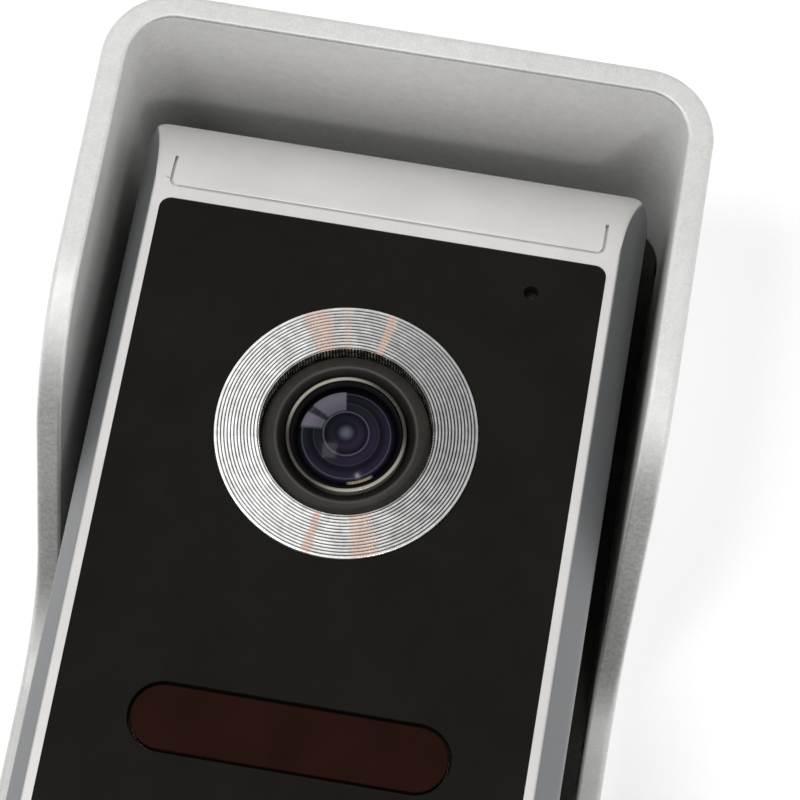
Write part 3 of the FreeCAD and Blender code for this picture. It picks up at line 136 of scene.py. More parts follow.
class Shader(Nodes):
    """A material on the Principled shader."""

    def __init__(self, name, colour, roughness, metallic=0.0, specular=0.5):
        self.name = name
        self.material = bpy.data.materials.new(name)
        super().__init__(self.material)
        self.base = self.tree.nodes["Principled BSDF"]
        self.feed(colour, "Base Color")
        self.feed(roughness, "Roughness")
        self.feed(metallic, "Metallic")
        self.feed(specular, "Specular IOR Level")
        self.place = self.node("TexCoord").outputs["Object"]

    def feed(self, value, socket):
        self.put(value, self.base.inputs[socket])

    def noise(self, size, detail=3.0, rough=0.55, stretch=(1.0, 1.0, 1.0)):
        """Noise from 0 to 1 whose features are about this large, in metres."""
        place = self.place
        if stretch != (1.0, 1.0, 1.0):
            mapping = self.node("Mapping")
            mapping.inputs["Scale"].default_value = stretch
            self.join(place, mapping.inputs["Vector"])
            place = mapping.outputs["Vector"]
        texture = self.node("TexNoise")
        texture.inputs["Scale"].default_value = 1.0 / size
        texture.inputs["Detail"].default_value = detail
        texture.inputs["Roughness"].default_value = rough
        self.join(place, texture.inputs["Vector"])
        return texture.outputs["Fac"]

    def span(self, value, low, high, to_low, to_high, smooth=False):
        """Map a range of a value onto another range, and clamp it."""
        made = self.node("MapRange", clamp=True)
        if smooth:
            made.interpolation_type = "SMOOTHSTEP"
        self.join(value, made.inputs["Value"])
        names = ("From Min", "From Max", "To Min", "To Max")
        for name, number in zip(names, (low, high, to_low, to_high)):
            made.inputs[name].default_value = number
        return made.outputs["Result"]

    def spread(self, noise, to_low=0.0, to_high=1.0):
        """Map the common values of a noise onto a range."""
        return self.span(noise, NOISE_LOW, NOISE_HIGH, to_low, to_high)

    def gloss(self, noise, low, high):
        """Uneven roughness that follows a noise."""
        self.feed(self.spread(noise, low, high), "Roughness")

    def band(self, value, rise, fall, smooth=False):
        """1 between two slopes, each a (start, end) pair, and 0 outside them."""
        return self.times(self.span(value, *rise, 0.0, 1.0, smooth),
                          self.span(value, *fall, 1.0, 0.0, smooth))

    def times(self, first, *others):
        for other in others:
            first = self.math("MULTIPLY", first, other)
        return first

    def distance(self, value, place):
        """How far a value is from a place, either way."""
        return self.math("ABSOLUTE", self.math("SUBTRACT", value, place))

    def blend(self, amount, first, second):
        """Mix two colours; each is an RGB triple or an output."""
        made = self.node("Mix", data_type="RGBA")
        self.put(amount, made.inputs["Factor"])
        for name, value in (("A", first), ("B", second)):
            self.put(value, [s for s in made.inputs if s.name == name and s.type == "RGBA"][0])
        return [s for s in made.outputs if s.type == "RGBA"][0]

    def scale(self, colour, factor):
        """A colour made lighter or darker by a factor."""
        made = self.node("VectorMath", operation="SCALE")
        self.put(colour, made.inputs[0])
        self.join(factor, made.inputs["Scale"])
        return made.outputs["Vector"]

    def bump(self, height, strength, depth):
        made = self.node("Bump")
        made.inputs["Strength"].default_value = strength
        made.inputs["Distance"].default_value = depth
        self.join(height, made.inputs["Height"])
        self.feed(made.outputs["Normal"], "Normal")

    def axes(self, source):
        split = self.node("SeparateXYZ")
        self.join(source, split.inputs["Vector"])
        return split.outputs

    def facing(self, axis):
        """How far the surface looks along one of the object's axes: -1 to 1."""
        return self.axes(self.node("TexCoord").outputs["Normal"])[axis]

    def polar(self, centre):
        """Distance and angle round an axis along Y through this point."""
        place = self.axes(self.place)
        dx = self.math("SUBTRACT", place["X"], centre.x)
        dz = self.math("SUBTRACT", place["Z"], centre.z)
        squares = self.math("ADD", self.times(dx, dx), self.times(dz, dz))
        return self.math("SQRT", squares), self.math("ARCTAN2", dz, dx)


def shade(colour, factor):
    return tuple(channel * factor for channel in colour)


def mottled(shader, colour, noise, low, high):
    """The colour, darker and lighter by these factors where the noise is low and high."""
    return shader.blend(shader.spread(noise), shade(colour, low), shade(colour, high))


def plain(name, colour, roughness, metallic=0.0, specular=0.5, grain=0.4, relief=0.02,
          strength=0.4, mottle=0.12, stretch=(1.0, 1.0, 1.0)):
    """A moulded, cast or painted surface: mottled colour, uneven gloss, a fine grain in mm."""
    shader = Shader(name, colour, roughness, metallic, specular)
    fine = shader.noise(grain * MM, 3.0, 0.6, stretch)
    tint = mottled(shader, colour, shader.noise(14 * MM, 4.0), 1 - mottle, 1 + mottle)
    speck = shader.spread(fine, 1 - mottle * 0.8, 1 + mottle * 0.8)
    shader.feed(shader.scale(tint, speck), "Base Color")
    uneven = shader.span(shader.noise(3 * MM, 4.0), 0.25, 0.75, roughness * 0.85,
                         min(1.0, roughness * 1.15))
    shader.feed(uneven, "Roughness")
    shader.bump(fine, strength, relief * MM)
    return shader


def brushed(name, colour, roughness, stretch=(1.0, 1.0, 1.0)):
    """Metal with fine drawn lines along one axis."""
    return plain(name, colour, roughness, 1.0, 0.5, 0.3, 0.012, 0.3, 0.1, stretch)


# ---------------------------------------------------------------- materials, one function each

PAINT_METAL = 0.25
# where the painted shade line lies across each groove's pitch, and its half width
GROOVE_PLACE = 0.3
GROOVE_LINE = 0.24
# painted glints: angle and half width in degrees, strength
RING_GLINTS = ((113.0, 6.5, 0.75), (99.0, 2.0, 0.45), (78.0, 2.5, 0.8), (-98.0, 2.5, 0.8),
               (-72.0, 7.0, 0.7))
# radius and half width in mm, strength of the painted reflection rings deep in the lens
PAINTED_RINGS = ((5.05, 0.15, 0.6), (3.7, 0.14, 0.2), (2.6, 0.16, 0.7), (0.0, 1.2, 1.0))
# how tightly the painted reflection bands follow each other across the glass, per metre
PAINTED_BANDS = 3900.0
BRUSHING = 6000.0
# where the painted window reflection and the painted sparks start and end round and across the glass
WINDOW_ANGLES = ((1.72, 1.76), (3.02, 3.12))
WINDOW_RADII = ((2.7 * MM, 2.9 * MM), (5.3 * MM, 5.4 * MM))
STRUT_ANGLE = 2.62
SPARK_ANGLES = ((-1.42, -1.30), (-0.92, -0.80))
SPARK_RADII = ((5.36 * MM, 5.44 * MM), (5.64 * MM, 5.72 * MM))
SPARK_TEETH = 27.0


def hood_paint():
    """Silver powder coat over a casting: fine speckle, slight orange peel; painted shade on the
    shoulders, and painted light by facing: front faces darker, inner walls lighter.
    """
    colour = (0.80, 0.795, 0.775)
    shader = Shader("hood_paint", colour, 0.46, PAINT_METAL, 0.35)
    speckle = shader.noise(0.16 * MM, 2.0, 0.7)
    cloud = shader.noise(1.3 * MM, 4.0, 0.65)
    down = shader.times(shader.facing("Z"), -1.0)
    front = shader.times(shader.facing("Y"), -1.0)
    # painted shade: where the surface faces down and to the front, on the shoulders, the colour is
    # darkened
    shoulder = shader.times(shader.span(down, 0.35, 0.8, 0.0, 1.0, True),
                            shader.span(front, 0.15, 0.4, 0.0, 1.0, True))
    shoulder_shade = shader.node("Mix", data_type="FLOAT")
    shader.join(shoulder, shoulder_shade.inputs["Factor"])
    shoulder_shade.inputs["A"].default_value = 1.0
    shade_level = shader.spread(shader.noise(0.5 * MM, 3.0, 0.7), 0.34, 0.52)
    shader.join(shade_level, shoulder_shade.inputs["B"])
    # the last factor is painted light by facing: faces that look to the front are darkened, and the
    # inner walls, which face elsewhere, are lightened
    light = shader.times(shader.spread(shader.noise(22 * MM, 4.0), 0.94, 1.03),
                         shader.span(speckle, 0.3, 0.72, 0.86, 1.08),
                         shader.spread(cloud, 0.95, 1.04), shoulder_shade.outputs["Result"],
                         shader.span(front, 0.3, 0.95, 1.17, 0.86))
    shader.feed(shader.scale(colour, light), "Base Color")
    shader.gloss(speckle, 0.38, 0.56)
    shader.bump(shader.math("ADD", shader.times(speckle, 0.5), cloud), 0.35, 0.03 * MM)
    return shader


def bezel_paint():
    """Smooth silver paint on the front; the slanting cheeks are coloured a darker grey as painted
    shade.
    """
    colour = (0.625, 0.615, 0.60)
    shader = Shader("bezel_paint", colour, 0.42, PAINT_METAL, 0.35)
    side = shader.math("ABSOLUTE", shader.facing("X"))
    grain = shader.noise(0.14 * MM, 2.0, 0.6)
    light = shader.times(shader.spread(shader.noise(9 * MM, 4.0), 0.95, 1.04),
                         shader.spread(grain, 0.97, 1.03))
    # painted shade: faces that look sideways, the slanting cheeks, are coloured dark grey
    cheek = shader.span(side, 0.55, 0.9, 0.0, 1.0, True)
    shader.feed(shader.blend(cheek, shader.scale(colour, light), (0.150, 0.155, 0.160)),
                "Base Color")
    shader.gloss(grain, 0.36, 0.48)
    shader.bump(grain, 0.15, 0.006 * MM)
    return shader


def panel_black():
    """Printed black acrylic: a satin front, faint dust and hairline marks."""
    colour = (0.0112, 0.0105, 0.0088)
    shader = Shader("panel_black", colour, 0.34, 0.0, 0.02)
    shader.feed(mottled(shader, colour, shader.noise(9 * MM, 5.0, 0.6), 0.88, 1.14), "Base Color")
    marks = shader.noise(2.4 * MM, 4.0, 0.6)
    shader.feed(shader.span(marks, 0.35, 0.75, 0.28, 0.40), "Roughness")
    shader.bump(shader.noise(0.5 * MM, 2.0), 0.12, 0.006 * MM)
    return shader


def ring_metal():
    """Turned aluminium: painted shade as dark lines in the groove floors, painted radial glints, a
    painted sheen lighter on one side of the ring, and painted glints on the teeth of a bore painted
    dark.
    """
    shader = Shader("ring_metal", (0.86, 0.86, 0.85), 0.24, 0.85, 0.5)
    radius, angle = shader.polar(LENS)
    start = RING_INNER + RING_EDGE
    turn = shader.math("DIVIDE", shader.math("SUBTRACT", radius, start), RING_PITCH)
    off_middle = shader.distance(shader.math("FRACT", turn), GROOVE_PLACE)
    # painted shade: a dark line in the floor of each groove
    line = shader.times(shader.span(off_middle, 0.02, GROOVE_LINE, 1.0, 0.0, True),
                        shader.times(shader.math("GREATER_THAN", radius, start),
                                     shader.math("LESS_THAN", radius, RING_OUTER - RING_EDGE)))
    # painted glints: pale pink sectors on the crests and on the groove floors
    glints = shader.strongest([
        shader.span(shader.distance(angle, math.radians(degrees)), math.radians(half * 0.5),
                    math.radians(half * 1.3), strength, 0.0, True)
        for degrees, half, strength in RING_GLINTS])
    # painted sheen: the crests are lighter on one side of the ring and darker on the other; the
    # streaks are the metal's own
    side = shader.math("COSINE", shader.math("SUBTRACT", angle, 3.5))
    streak = shader.noise(1.1 * MM, 3.0, 0.6)
    sheen_and_streaks = shader.times(shader.span(side, -1.0, 1.0, 0.40, 1.0),
                          shader.spread(streak, 0.85, 1.12))
    crest = shader.blend(glints, shader.scale((1.0, 1.0, 0.99), sheen_and_streaks), (0.66, 0.52, 0.45))
    floor = shader.blend(glints, (0.07, 0.07, 0.073), (0.42, 0.33, 0.28))
    face = shader.blend(line, crest, floor)
    # painted glints on the teeth of the bore, over a bore wall painted dark as shade
    tooth = shader.math("COSINE", shader.times(angle, float(RING_TEETH)))
    flash = shader.times(shader.span(tooth, 0.1, 0.8, 0.0, 1.0),
                         shader.span(streak, 0.42, 0.62, 0.1, 1.0))
    teeth = shader.blend(flash, (0.03, 0.03, 0.03), (1.0, 0.93, 0.75))
    bore = shader.span(radius, RING_INNER + 0.10 * MM, RING_INNER + 0.16 * MM, 1.0, 0.0)
    shader.feed(shader.blend(bore, face, teeth), "Base Color")
    shader.gloss(streak, 0.20, 0.34)
    return shader


def surround_black():
    """Moulded black plastic round the lens, paler and matt on its outer sloping rim, with dust; the
    slope inside its mouth is painted darker as shade.
    """
    shader = Shader("surround_black", (0.03, 0.029, 0.025), 0.42, 0.0, 0.25)
    radius, _ = shader.polar(LENS)
    # painted shade: inside the mouth, where the slope runs down towards the barrel, the colour is
    # much darker
    slope = shader.span(radius, SURROUND_MOUTH - 0.25 * MM, SURROUND_MOUTH + 0.05 * MM, 0.0, 1.0,
                        True)
    dust = shader.spread(shader.noise(0.35 * MM, 3.0))
    outside = shader.blend(dust, (0.036, 0.035, 0.030), (0.050, 0.048, 0.041))
    shader.feed(shader.blend(slope, (0.010, 0.0095, 0.008), outside), "Base Color")
    shader.gloss(shader.noise(1.5 * MM, 2.0), 0.38, 0.5)
    return shader


def barrel_black():
    """Black anodised aluminium, with a painted highlight in dull bronze along the lip of its flange.
    """
    shader = Shader("barrel_black", (0.012, 0.012, 0.012), 0.30, 0.5, 0.12)
    radius, angle = shader.polar(LENS)
    lip = shader.span(radius, BARREL_LIP - 0.52 * MM, BARREL_LIP - 0.30 * MM, 0.0, 1.0, True)
    # painted highlight: two arcs round the lip, where the wave is high
    wave = shader.math("COSINE", shader.math("SUBTRACT", shader.times(angle, 2.0), 4.4))
    painted_lip_highlight = shader.times(lip, shader.span(wave, -0.7, 0.8, 0.12, 1.0, True))
    shader.feed(shader.blend(painted_lip_highlight, (0.003, 0.003, 0.003), (0.34, 0.315, 0.27)), "Base Color")
    shader.gloss(shader.noise(0.5 * MM, 2.0), 0.26, 0.36)
    return shader


def painted_rings(shader, radius):
    """Painted reflection rings deep in the lens: 0 to 1."""
    return shader.strongest([
        shader.span(shader.distance(radius, place * MM), 0.0, half * MM, strength, 0.0, True)
        for place, half, strength in PAINTED_RINGS])


def lens_glass():
    """Deep, dark glass with painted reflections: rings and bands, a sheen lighter on one side, a
    window's reflection and a string of sparks near the rim.
    """
    shader = Shader("lens_glass", (0.01, 0.012, 0.02), 0.08, 0.0, 0.05)
    radius, angle = shader.polar(LENS)
    # painted sheen: the deep colour is lighter on one side of the lens
    turn = shader.span(shader.math("COSINE", shader.math("ADD", angle, 0.7)), -1.0, 1.0, 0.0, 1.0)
    deep = shader.blend(turn, (0.004, 0.0065, 0.009), (0.016, 0.011, 0.026))
    # painted reflections: concentric bands and rings in the deep glass
    bands = shader.math("COSINE", shader.times(radius, PAINTED_BANDS))
    deep = shader.scale(deep, shader.span(bands, -1.0, 1.0, 0.35, 1.15))
    glow = shader.blend(painted_rings(shader, radius), deep, (0.085, 0.088, 0.115))
    # painted reflection of a window, split by a dark strut
    strut = shader.span(shader.distance(angle, STRUT_ANGLE), 0.05, 0.13, 0.15, 1.0, True)
    window = shader.times(
        shader.band(angle, *WINDOW_ANGLES), strut, shader.band(radius, *WINDOW_RADII),
        shader.span(radius, 3.2 * MM, 4.9 * MM, 0.55, 1.0))
    glow = shader.blend(window, glow, (0.15, 0.14, 0.18))
    rim = shader.span(radius, 5.55 * MM, 5.66 * MM, 0.0, 1.0)
    glow = shader.blend(rim, glow, (0.003, 0.003, 0.003))
    # painted sparks: a string of glints near the rim
    teeth = shader.math("FRACT", shader.times(angle, SPARK_TEETH))
    spark = shader.times(
        shader.band(angle, *SPARK_ANGLES, True), shader.band(radius, *SPARK_RADII),
        shader.span(teeth, 0.3, 0.7, 0.25, 1.0, True))
    shader.feed(shader.blend(spark, glow, (0.75, 0.62, 0.45)), "Base Color")
    shader.gloss(shader.noise(1.5 * MM, 2.0), 0.10, 0.15)
    return shader


def baffle_black():
    """The stepped black ring inside the barrel, with painted violet reflection rings and a painted
    sheen lighter on one side.
    """
    shader = Shader("baffle_black", (0.02, 0.02, 0.03), 0.22, 0.0, 0.5)
    radius, angle = shader.polar(LENS)
    # painted sheen: lighter on one side of the ring
    turn = shader.math("COSINE", shader.math("SUBTRACT", angle, 2.2))
    deep = shader.blend(shader.span(turn, -1.0, 1.0, 0.0, 1.0), (0.010, 0.013, 0.022),
                        (0.030, 0.026, 0.050))
    shader.feed(shader.blend(painted_rings(shader, radius), deep, (0.20, 0.19, 0.30)), "Base Color")
    shader.gloss(shader.noise(1.0 * MM, 2.0), 0.16, 0.28)
    return shader


def ir_window_plastic():
    """Plastic that lets infrared through and looks a very dark red."""
    colour = (0.0180, 0.0064, 0.0046)
    shader = Shader("ir_window_plastic", colour, 0.32, 0.0, 0.01)
    shader.feed(mottled(shader, colour, shader.noise(6 * MM, 4.0), 0.9, 1.12), "Base Color")
    shader.gloss(shader.noise(1.1 * MM, 3.0), 0.26, 0.36)
    shader.bump(shader.noise(0.8 * MM, 2.0), 0.1, 0.006 * MM)
    return shader


def button_metal():
    """Spun steel: circular brushing round the button's axis."""
    shader = Shader("button_metal", (0.42, 0.42, 0.42), 0.28, 0.9, 0.5)
    radius, angle = shader.polar(BUTTON)
    rings = shader.node("TexNoise", noise_dimensions="2D")
    rings.inputs["Scale"].default_value = 1.0
    rings.inputs["Detail"].default_value = 3.0
    spot = shader.node("CombineXYZ")
    shader.join(shader.times(radius, BRUSHING), spot.inputs["X"])
    shader.join(shader.times(angle, 1.2), spot.inputs["Y"])
    shader.join(spot.outputs["Vector"], rings.inputs["Vector"])
    brush = rings.outputs["Fac"]
    shader.feed(shader.blend(shader.spread(brush), (0.30, 0.30, 0.305), (0.54, 0.54, 0.535)),
                "Base Color")
    shader.gloss(brush, 0.22, 0.38)
    shader.bump(brush, 0.25, 0.01 * MM)
    return shader


def board_green():
    """Solder mask over copper: traces show as a slightly lighter, raised pattern."""
    shader = Shader("board_green", (0.012, 0.11, 0.05), 0.3, 0.0, 0.5)
    bricks = shader.node("TexBrick", offset=0.5)
    turned_place = shader.node("Mapping")
    turned_place.inputs["Rotation"].default_value = (math.radians(90), 0.0, 0.0)
    shader.join(shader.place, turned_place.inputs["Vector"])
    shader.join(turned_place.outputs["Vector"], bricks.inputs["Vector"])
    bricks.inputs["Scale"].default_value = 160.0
    bricks.inputs["Mortar Size"].default_value = 0.03
    for name, grey in (("Color1", 0.0), ("Color2", 0.12), ("Mortar", 1.0)):
        bricks.inputs[name].default_value = (grey, grey, grey, 1.0)
    cloud = shader.noise(5 * MM, 3.0)
    copper = shader.blend(shader.spread(cloud), (0.03, 0.22, 0.09), (0.045, 0.27, 0.11))
    traces = bricks.outputs["Fac"]
    shader.feed(shader.blend(traces, (0.010, 0.10, 0.045), copper), "Base Color")
    shader.gloss(cloud, 0.24, 0.38)
    shader.bump(traces, 0.3, 0.03 * MM)
    return shader


def clear_plastic(name, colour, glow=0.0):
    """Cloudy, half clear plastic, lit from inside where it glows."""
    shader = Shader(name, colour, 0.16, 0.0, 0.5)
    shader.feed(mottled(shader, colour, shader.noise(1.5 * MM, 3.0), 0.85, 1.1), "Base Color")
    shader.gloss(shader.noise(0.7 * MM, 2.0), 0.12, 0.22)
    shader.feed(0.35, "Transmission Weight")
    if glow:
        shader.feed(colour, "Emission Color")
        shader.feed(glow, "Emission Strength")
    return shader


SPECIAL = (hood_paint, bezel_paint, panel_black, ring_metal, surround_black, barrel_black,
           lens_glass, baffle_black, ir_window_plastic, button_metal, board_green)
CLEAR = (
    # slot, colour, glow
    ("icon_plastic", (0.03, 0.14, 0.60), 0.15),
    ("light_ring_plastic", (0.06, 0.22, 0.66), 0.12),
    ("led_clear", (0.72, 0.72, 0.78), 0.0),
)
BRUSHED = (
    # slot, colour, roughness, stretch of the drawn lines
    ("bracket_steel", (0.42, 0.42, 0.40), 0.36, (1.0, 1.0, 0.06)),
    ("screw_steel", (0.38, 0.38, 0.37), 0.26, (0.3, 1.0, 1.0)),
    ("insert_brass", (0.72, 0.52, 0.22), 0.28, (1.0, 1.0, 0.2)),
    ("spring_steel", (0.55, 0.55, 0.55), 0.25),
    ("can_metal", (0.68, 0.68, 0.70), 0.3, (1.0, 0.1, 1.0)),
    ("speaker_mesh_metal", (0.10, 0.10, 0.10), 0.4),
    ("speaker_steel", (0.34, 0.34, 0.34), 0.38),
)
PLAIN = (
    # slot, colour, roughness, metallic, specular, grain and relief in mm, bump, mottle, stretch
    ("case_black", (0.030, 0.029, 0.027), 0.55, 0.0, 0.4, 0.35, 0.04, 0.7, 0.12),
    ("pad_foam", (0.022, 0.021, 0.018), 0.85, 0.0, 0.25, 0.45, 0.12, 0.9, 0.25),
    ("seal_rubber", (0.026, 0.026, 0.025), 0.6, 0.0, 0.35, 0.6, 0.02, 0.4, 0.15),
    ("chip_black", (0.018, 0.018, 0.020), 0.5, 0.0, 0.4, 0.2, 0.015, 0.5, 0.1),
    ("relay_plastic", (0.025, 0.10, 0.33), 0.35),
    ("header_white", (0.74, 0.72, 0.65), 0.42, 0.0, 0.5, 0.4, 0.01, 0.3, 0.05),
    ("sensor_ceramic", (0.70, 0.38, 0.18), 0.3),
    ("ribbon_film", (0.72, 0.42, 0.10), 0.25, 0.0, 0.5, 0.5, 0.01, 0.3, 0.12, (4.0, 1.0, 0.2)),
    ("wire_red", (0.50, 0.04, 0.03), 0.42),
    ("speaker_film", (0.50, 0.50, 0.46), 0.3),
    ("magnet_iron", (0.24, 0.24, 0.25), 0.4, 0.9, 0.5),
    ("sensor_glass", (0.05, 0.07, 0.09), 0.12, 0.0, 0.6),
    ("tape_film", (0.012, 0.012, 0.012), 0.5, 0.0, 0.3),
)


def make_materials():
    """One material for each slot, by the slot's name."""
    shaders = [maker() for maker in SPECIAL]
    for maker, rows in ((clear_plastic, CLEAR), (brushed, BRUSHED), (plain, PLAIN)):
        shaders += [maker(*row) for row in rows]
    return {shader.name: shader.material for shader in shaders}


# ---------------------------------------------------------------- mesh helpers

SHARP_DEGREES = 32.0
WELD = 1e-7
CAD_WELD = 2e-6


def smooth(data, degrees=SHARP_DEGREES):
    data.shade_smooth()
    data.set_sharp_from_angle(angle=math.radians(degrees))


def apply_modifiers(piece):
    """Turn the piece's modifiers into mesh, so that none is left on it."""
    graph = bpy.context.evaluated_depsgraph_get()
    data = bpy.data.meshes.new_from_object(piece.evaluated_get(graph))
    piece.modifiers.clear()
    piece.data = data


def weigh_normals(piece):
    """Flat faces stay flat beside their rounded edges."""
    modifier = piece.modifiers.new("weights", "WEIGHTED_NORMAL")
    modifier.keep_sharp = True
    apply_modifiers(piece)


def link_object(name, data):
    made = bpy.data.objects.new(name, data)
    bpy.context.scene.collection.objects.link(made)
    return made


def mesh_object(name, made):
    """An object from a bmesh, in place; the bmesh is used up."""
    data = bpy.data.meshes.new(name)
    made.to_mesh(data)
    made.free()
    return link_object(name, data)


def new_piece(name, made, slot, body=STATION, replaces=(), degrees=SHARP_DEGREES):
    """A shown piece made from a bmesh, in place, on its body."""
    piece = mesh_object(name, made)
    piece.data.materials.append(materials[slot])
    smooth(piece.data, degrees)
    weigh_normals(piece)
    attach(piece, body)
    if replaces:
        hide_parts(*replaces)
    return piece


def quads(made, rows, loop_rows=False, loop_row=True):
    """Four-sided faces between rows of corners that follow each other."""
    pairs = list(zip(rows, rows[1:]))
    if loop_rows:
        pairs.append((rows[-1], rows[0]))
    for here, after in pairs:
        count = len(here)
        for index in range(count if loop_row else count - 1):
            nxt = (index + 1) % count
            made.faces.new((here[index], here[nxt], after[nxt], after[index]))


def close_ends(made, rows):
    made.faces.new(rows[0])
    made.faces.new(list(reversed(rows[-1])))


def face_outwards(made):
    bmesh.ops.recalc_face_normals(made, faces=made.faces)
    return made


def weld(made, distance=WELD):
    bmesh.ops.remove_doubles(made, verts=made.verts, dist=distance)


def lathe(corners, centre, steps=256, closed=True):
    """A closed ring of (radius, y) corners, turned about an axis along Y through centre."""
    made = bmesh.new()
    rings = []
    for step in range(steps):
        angle = 2 * math.pi * step / steps
        ring = []
        for radius, y in corners:
            spot = (centre.x + radius * math.cos(angle), y, centre.z + radius * math.sin(angle))
            ring.append(made.verts.new(spot))
        rings.append(ring)
    quads(made, rings, True, closed)
    weld(made)
    return face_outwards(made)


def loft(loops):
    """A solid through loops of (x, y, z) with equal counts, closed by a face at each end."""
    made = bmesh.new()
    rows = [[made.verts.new(spot) for spot in loop] for loop in loops]
    quads(made, rows)
    close_ends(made, rows)
    return face_outwards(made)


def ring_prism(outer, inner, front, back):
    """A closed frame between two (x, z) loops with equal counts."""
    made = bmesh.new()
    rows = []
    for loop, y in ((outer, front), (outer, back), (inner, back), (inner, front)):
        rows.append([made.verts.new((x, y, z)) for x, z in loop])
    quads(made, rows, True)
    return face_outwards(made)


def round_rect(half_x, half_z, radius, steps=8, centre_z=0.0):
    """(x, z) round a rectangle with rounded corners, clockwise from the top right."""
    spots = []
    for sx, sz, first in ((1, 1, 90.0), (1, -1, 0.0), (-1, -1, -90.0), (-1, 1, 180.0)):
        for step in range(steps + 1):
            angle = math.radians(first - 90.0 * step / steps)
            spots.append((sx * (half_x - radius) + radius * math.cos(angle),
                          centre_z + sz * (half_z - radius) + radius * math.sin(angle)))
    return spots


def cad_mesh(node):
    """A node's mesh, welded."""
    made = bmesh.new()
    made.from_mesh(frame["nodes"][node].data)
    weld(made, CAD_WELD)
    return made


def cad_copy(node):
    """A node's mesh, welded, with its flat faces made whole again."""
    made = cad_mesh(node)
    bmesh.ops.dissolve_limit(made, angle_limit=math.radians(0.4), verts=made.verts,
                             edges=made.edges, delimit=set())
    return made


def round_edges(made, width, wanted, degrees=28.0):
    """Round over the sharp edges whose middle passes the test."""
    sharp = []
    for edge in made.edges:
        if len(edge.link_faces) != 2 or edge.calc_face_angle() < math.radians(degrees):
            continue
        if wanted((edge.verts[0].co + edge.verts[1].co) / 2):
            sharp.append(edge)
    bmesh.ops.bevel(made, geom=sharp, offset=width, offset_type="OFFSET", segments=3,
                    profile=0.5, affect="EDGES", clamp_overlap=True, miter_outer="ARC")


def cut_away(piece, tools, operation="DIFFERENCE"):
    """Take the tools' solids out of the piece, or keep what lies in them; remove the tools."""
    for tool in tools:
        modifier = piece.modifiers.new("cut", "BOOLEAN")
        modifier.object = tool
        modifier.operation = operation
        modifier.solver = "EXACT"
    apply_modifiers(piece)
    for tool in tools:
        bpy.data.objects.remove(tool)


def drill(x, z, corners, steps=48):
    """A turned cutter: (radius, y) corners from front to back, about (x, z)."""
    profile = [(0.0, corners[0][1])] + corners + [(0.0, corners[-1][1])]
    return mesh_object("drill", lathe(profile, Vector((x, 0.0, z)), steps, False))


# ---------------------------------------------------------------- rain hood

HOOD_LOW, HOOD_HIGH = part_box("rain_hood")
HOOD_WALL = 3.0 * MM
HOOD_FLOOR = 2.5 * MM
HOOD_CORNER = 8.5 * MM
HOOD_LEAN = 1.2 * MM
SHOULDER_TOP = 43.0 * MM
SHOULDER_SLOPE = math.radians(62.6)
UPPER_CURVE = 22.0 * MM
LOWER_CURVE = 18.0 * MM
LIP_Y = -5.0 * MM
RIM_OUTER_ROUND = 0.75 * MM
RIM_INNER_ROUND = 0.45 * MM
HOOD_BACK_ROUND = 0.5 * MM
FLOOR_FILLET = 0.6 * MM
CORNER_STEPS = 20
CURVE_STEPS = 16
STRAIGHT_STEPS = 12
RIM_STEPS = 5
WALL_HOLE_X = 23.0 * MM
WALL_HOLE_Z = 50.0 * MM
WALL_HOLE = 2.3 * MM
BRACKET_SCREWS = ((-11.0 * MM, 10.0 * MM), (11.0 * MM, -36.0 * MM))
SCREW_HOLE = 1.6 * MM
SCREW_SINK = 3.0 * MM
SINK_DEPTH = 1.5 * MM
CABLE_HOLE = 10.0 * MM
SEAL_WIDTH = 2.5 * MM
SEAL_GAP = 0.1 * MM
SEAL_CORNER = 5.6 * MM
SEAL_INNER_CORNER = 2.9 * MM


def rim_line():
    """The rim seen from the side, as (z, y, slope) from the roof to the bottom."""
    top = HOOD_HIGH.z
    start = HOOD_LOW.y + HOOD_LEAN
    points = []
    for step in range(CURVE_STEPS):
        share = step / CURVE_STEPS
        points.append((top + (SHOULDER_TOP - top) * share, HOOD_LOW.y + HOOD_LEAN * share, 0.0))
    for step in range(CURVE_STEPS + 1):
        angle = SHOULDER_SLOPE * step / CURVE_STEPS
        points.append((SHOULDER_TOP - UPPER_CURVE * math.sin(angle),
                       start + UPPER_CURVE * (1 - math.cos(angle)), angle))
    upper_z, upper_y = points[-1][0], points[-1][1]
    lower_y = LIP_Y - LOWER_CURVE * (1 - math.cos(SHOULDER_SLOPE))
    run = (lower_y - upper_y) / math.sin(SHOULDER_SLOPE)
    lower_z = upper_z - run * math.cos(SHOULDER_SLOPE)
    for step in range(1, STRAIGHT_STEPS):
        share = step / STRAIGHT_STEPS
        points.append((upper_z + (lower_z - upper_z) * share,
                       upper_y + (lower_y - upper_y) * share, SHOULDER_SLOPE))
    lip_z = lower_z - LOWER_CURVE * math.sin(SHOULDER_SLOPE)
    for step in range(CURVE_STEPS + 1):
        angle = SHOULDER_SLOPE * (1 - step / CURVE_STEPS)
        points.append((lip_z + LOWER_CURVE * math.sin(angle),
                       LIP_Y - LOWER_CURVE * (1 - math.cos(angle)), angle))
    points.append((HOOD_LOW.z, LIP_Y, 0.0))
    return points


def rim_at(z, line):
    """The rim's y and slope at a height."""
    for (z0, y0, a0), (z1, y1, a1) in zip(line, line[1:]):
        if z0 >= z >= z1 and z0 > z1:
            share = (z0 - z) / (z0 - z1)
            return y0 + (y1 - y0) * share, a0 + (a1 - a0) * share
    return (line[0][1], 0.0) if z > line[0][0] else (LIP_Y, 0.0)


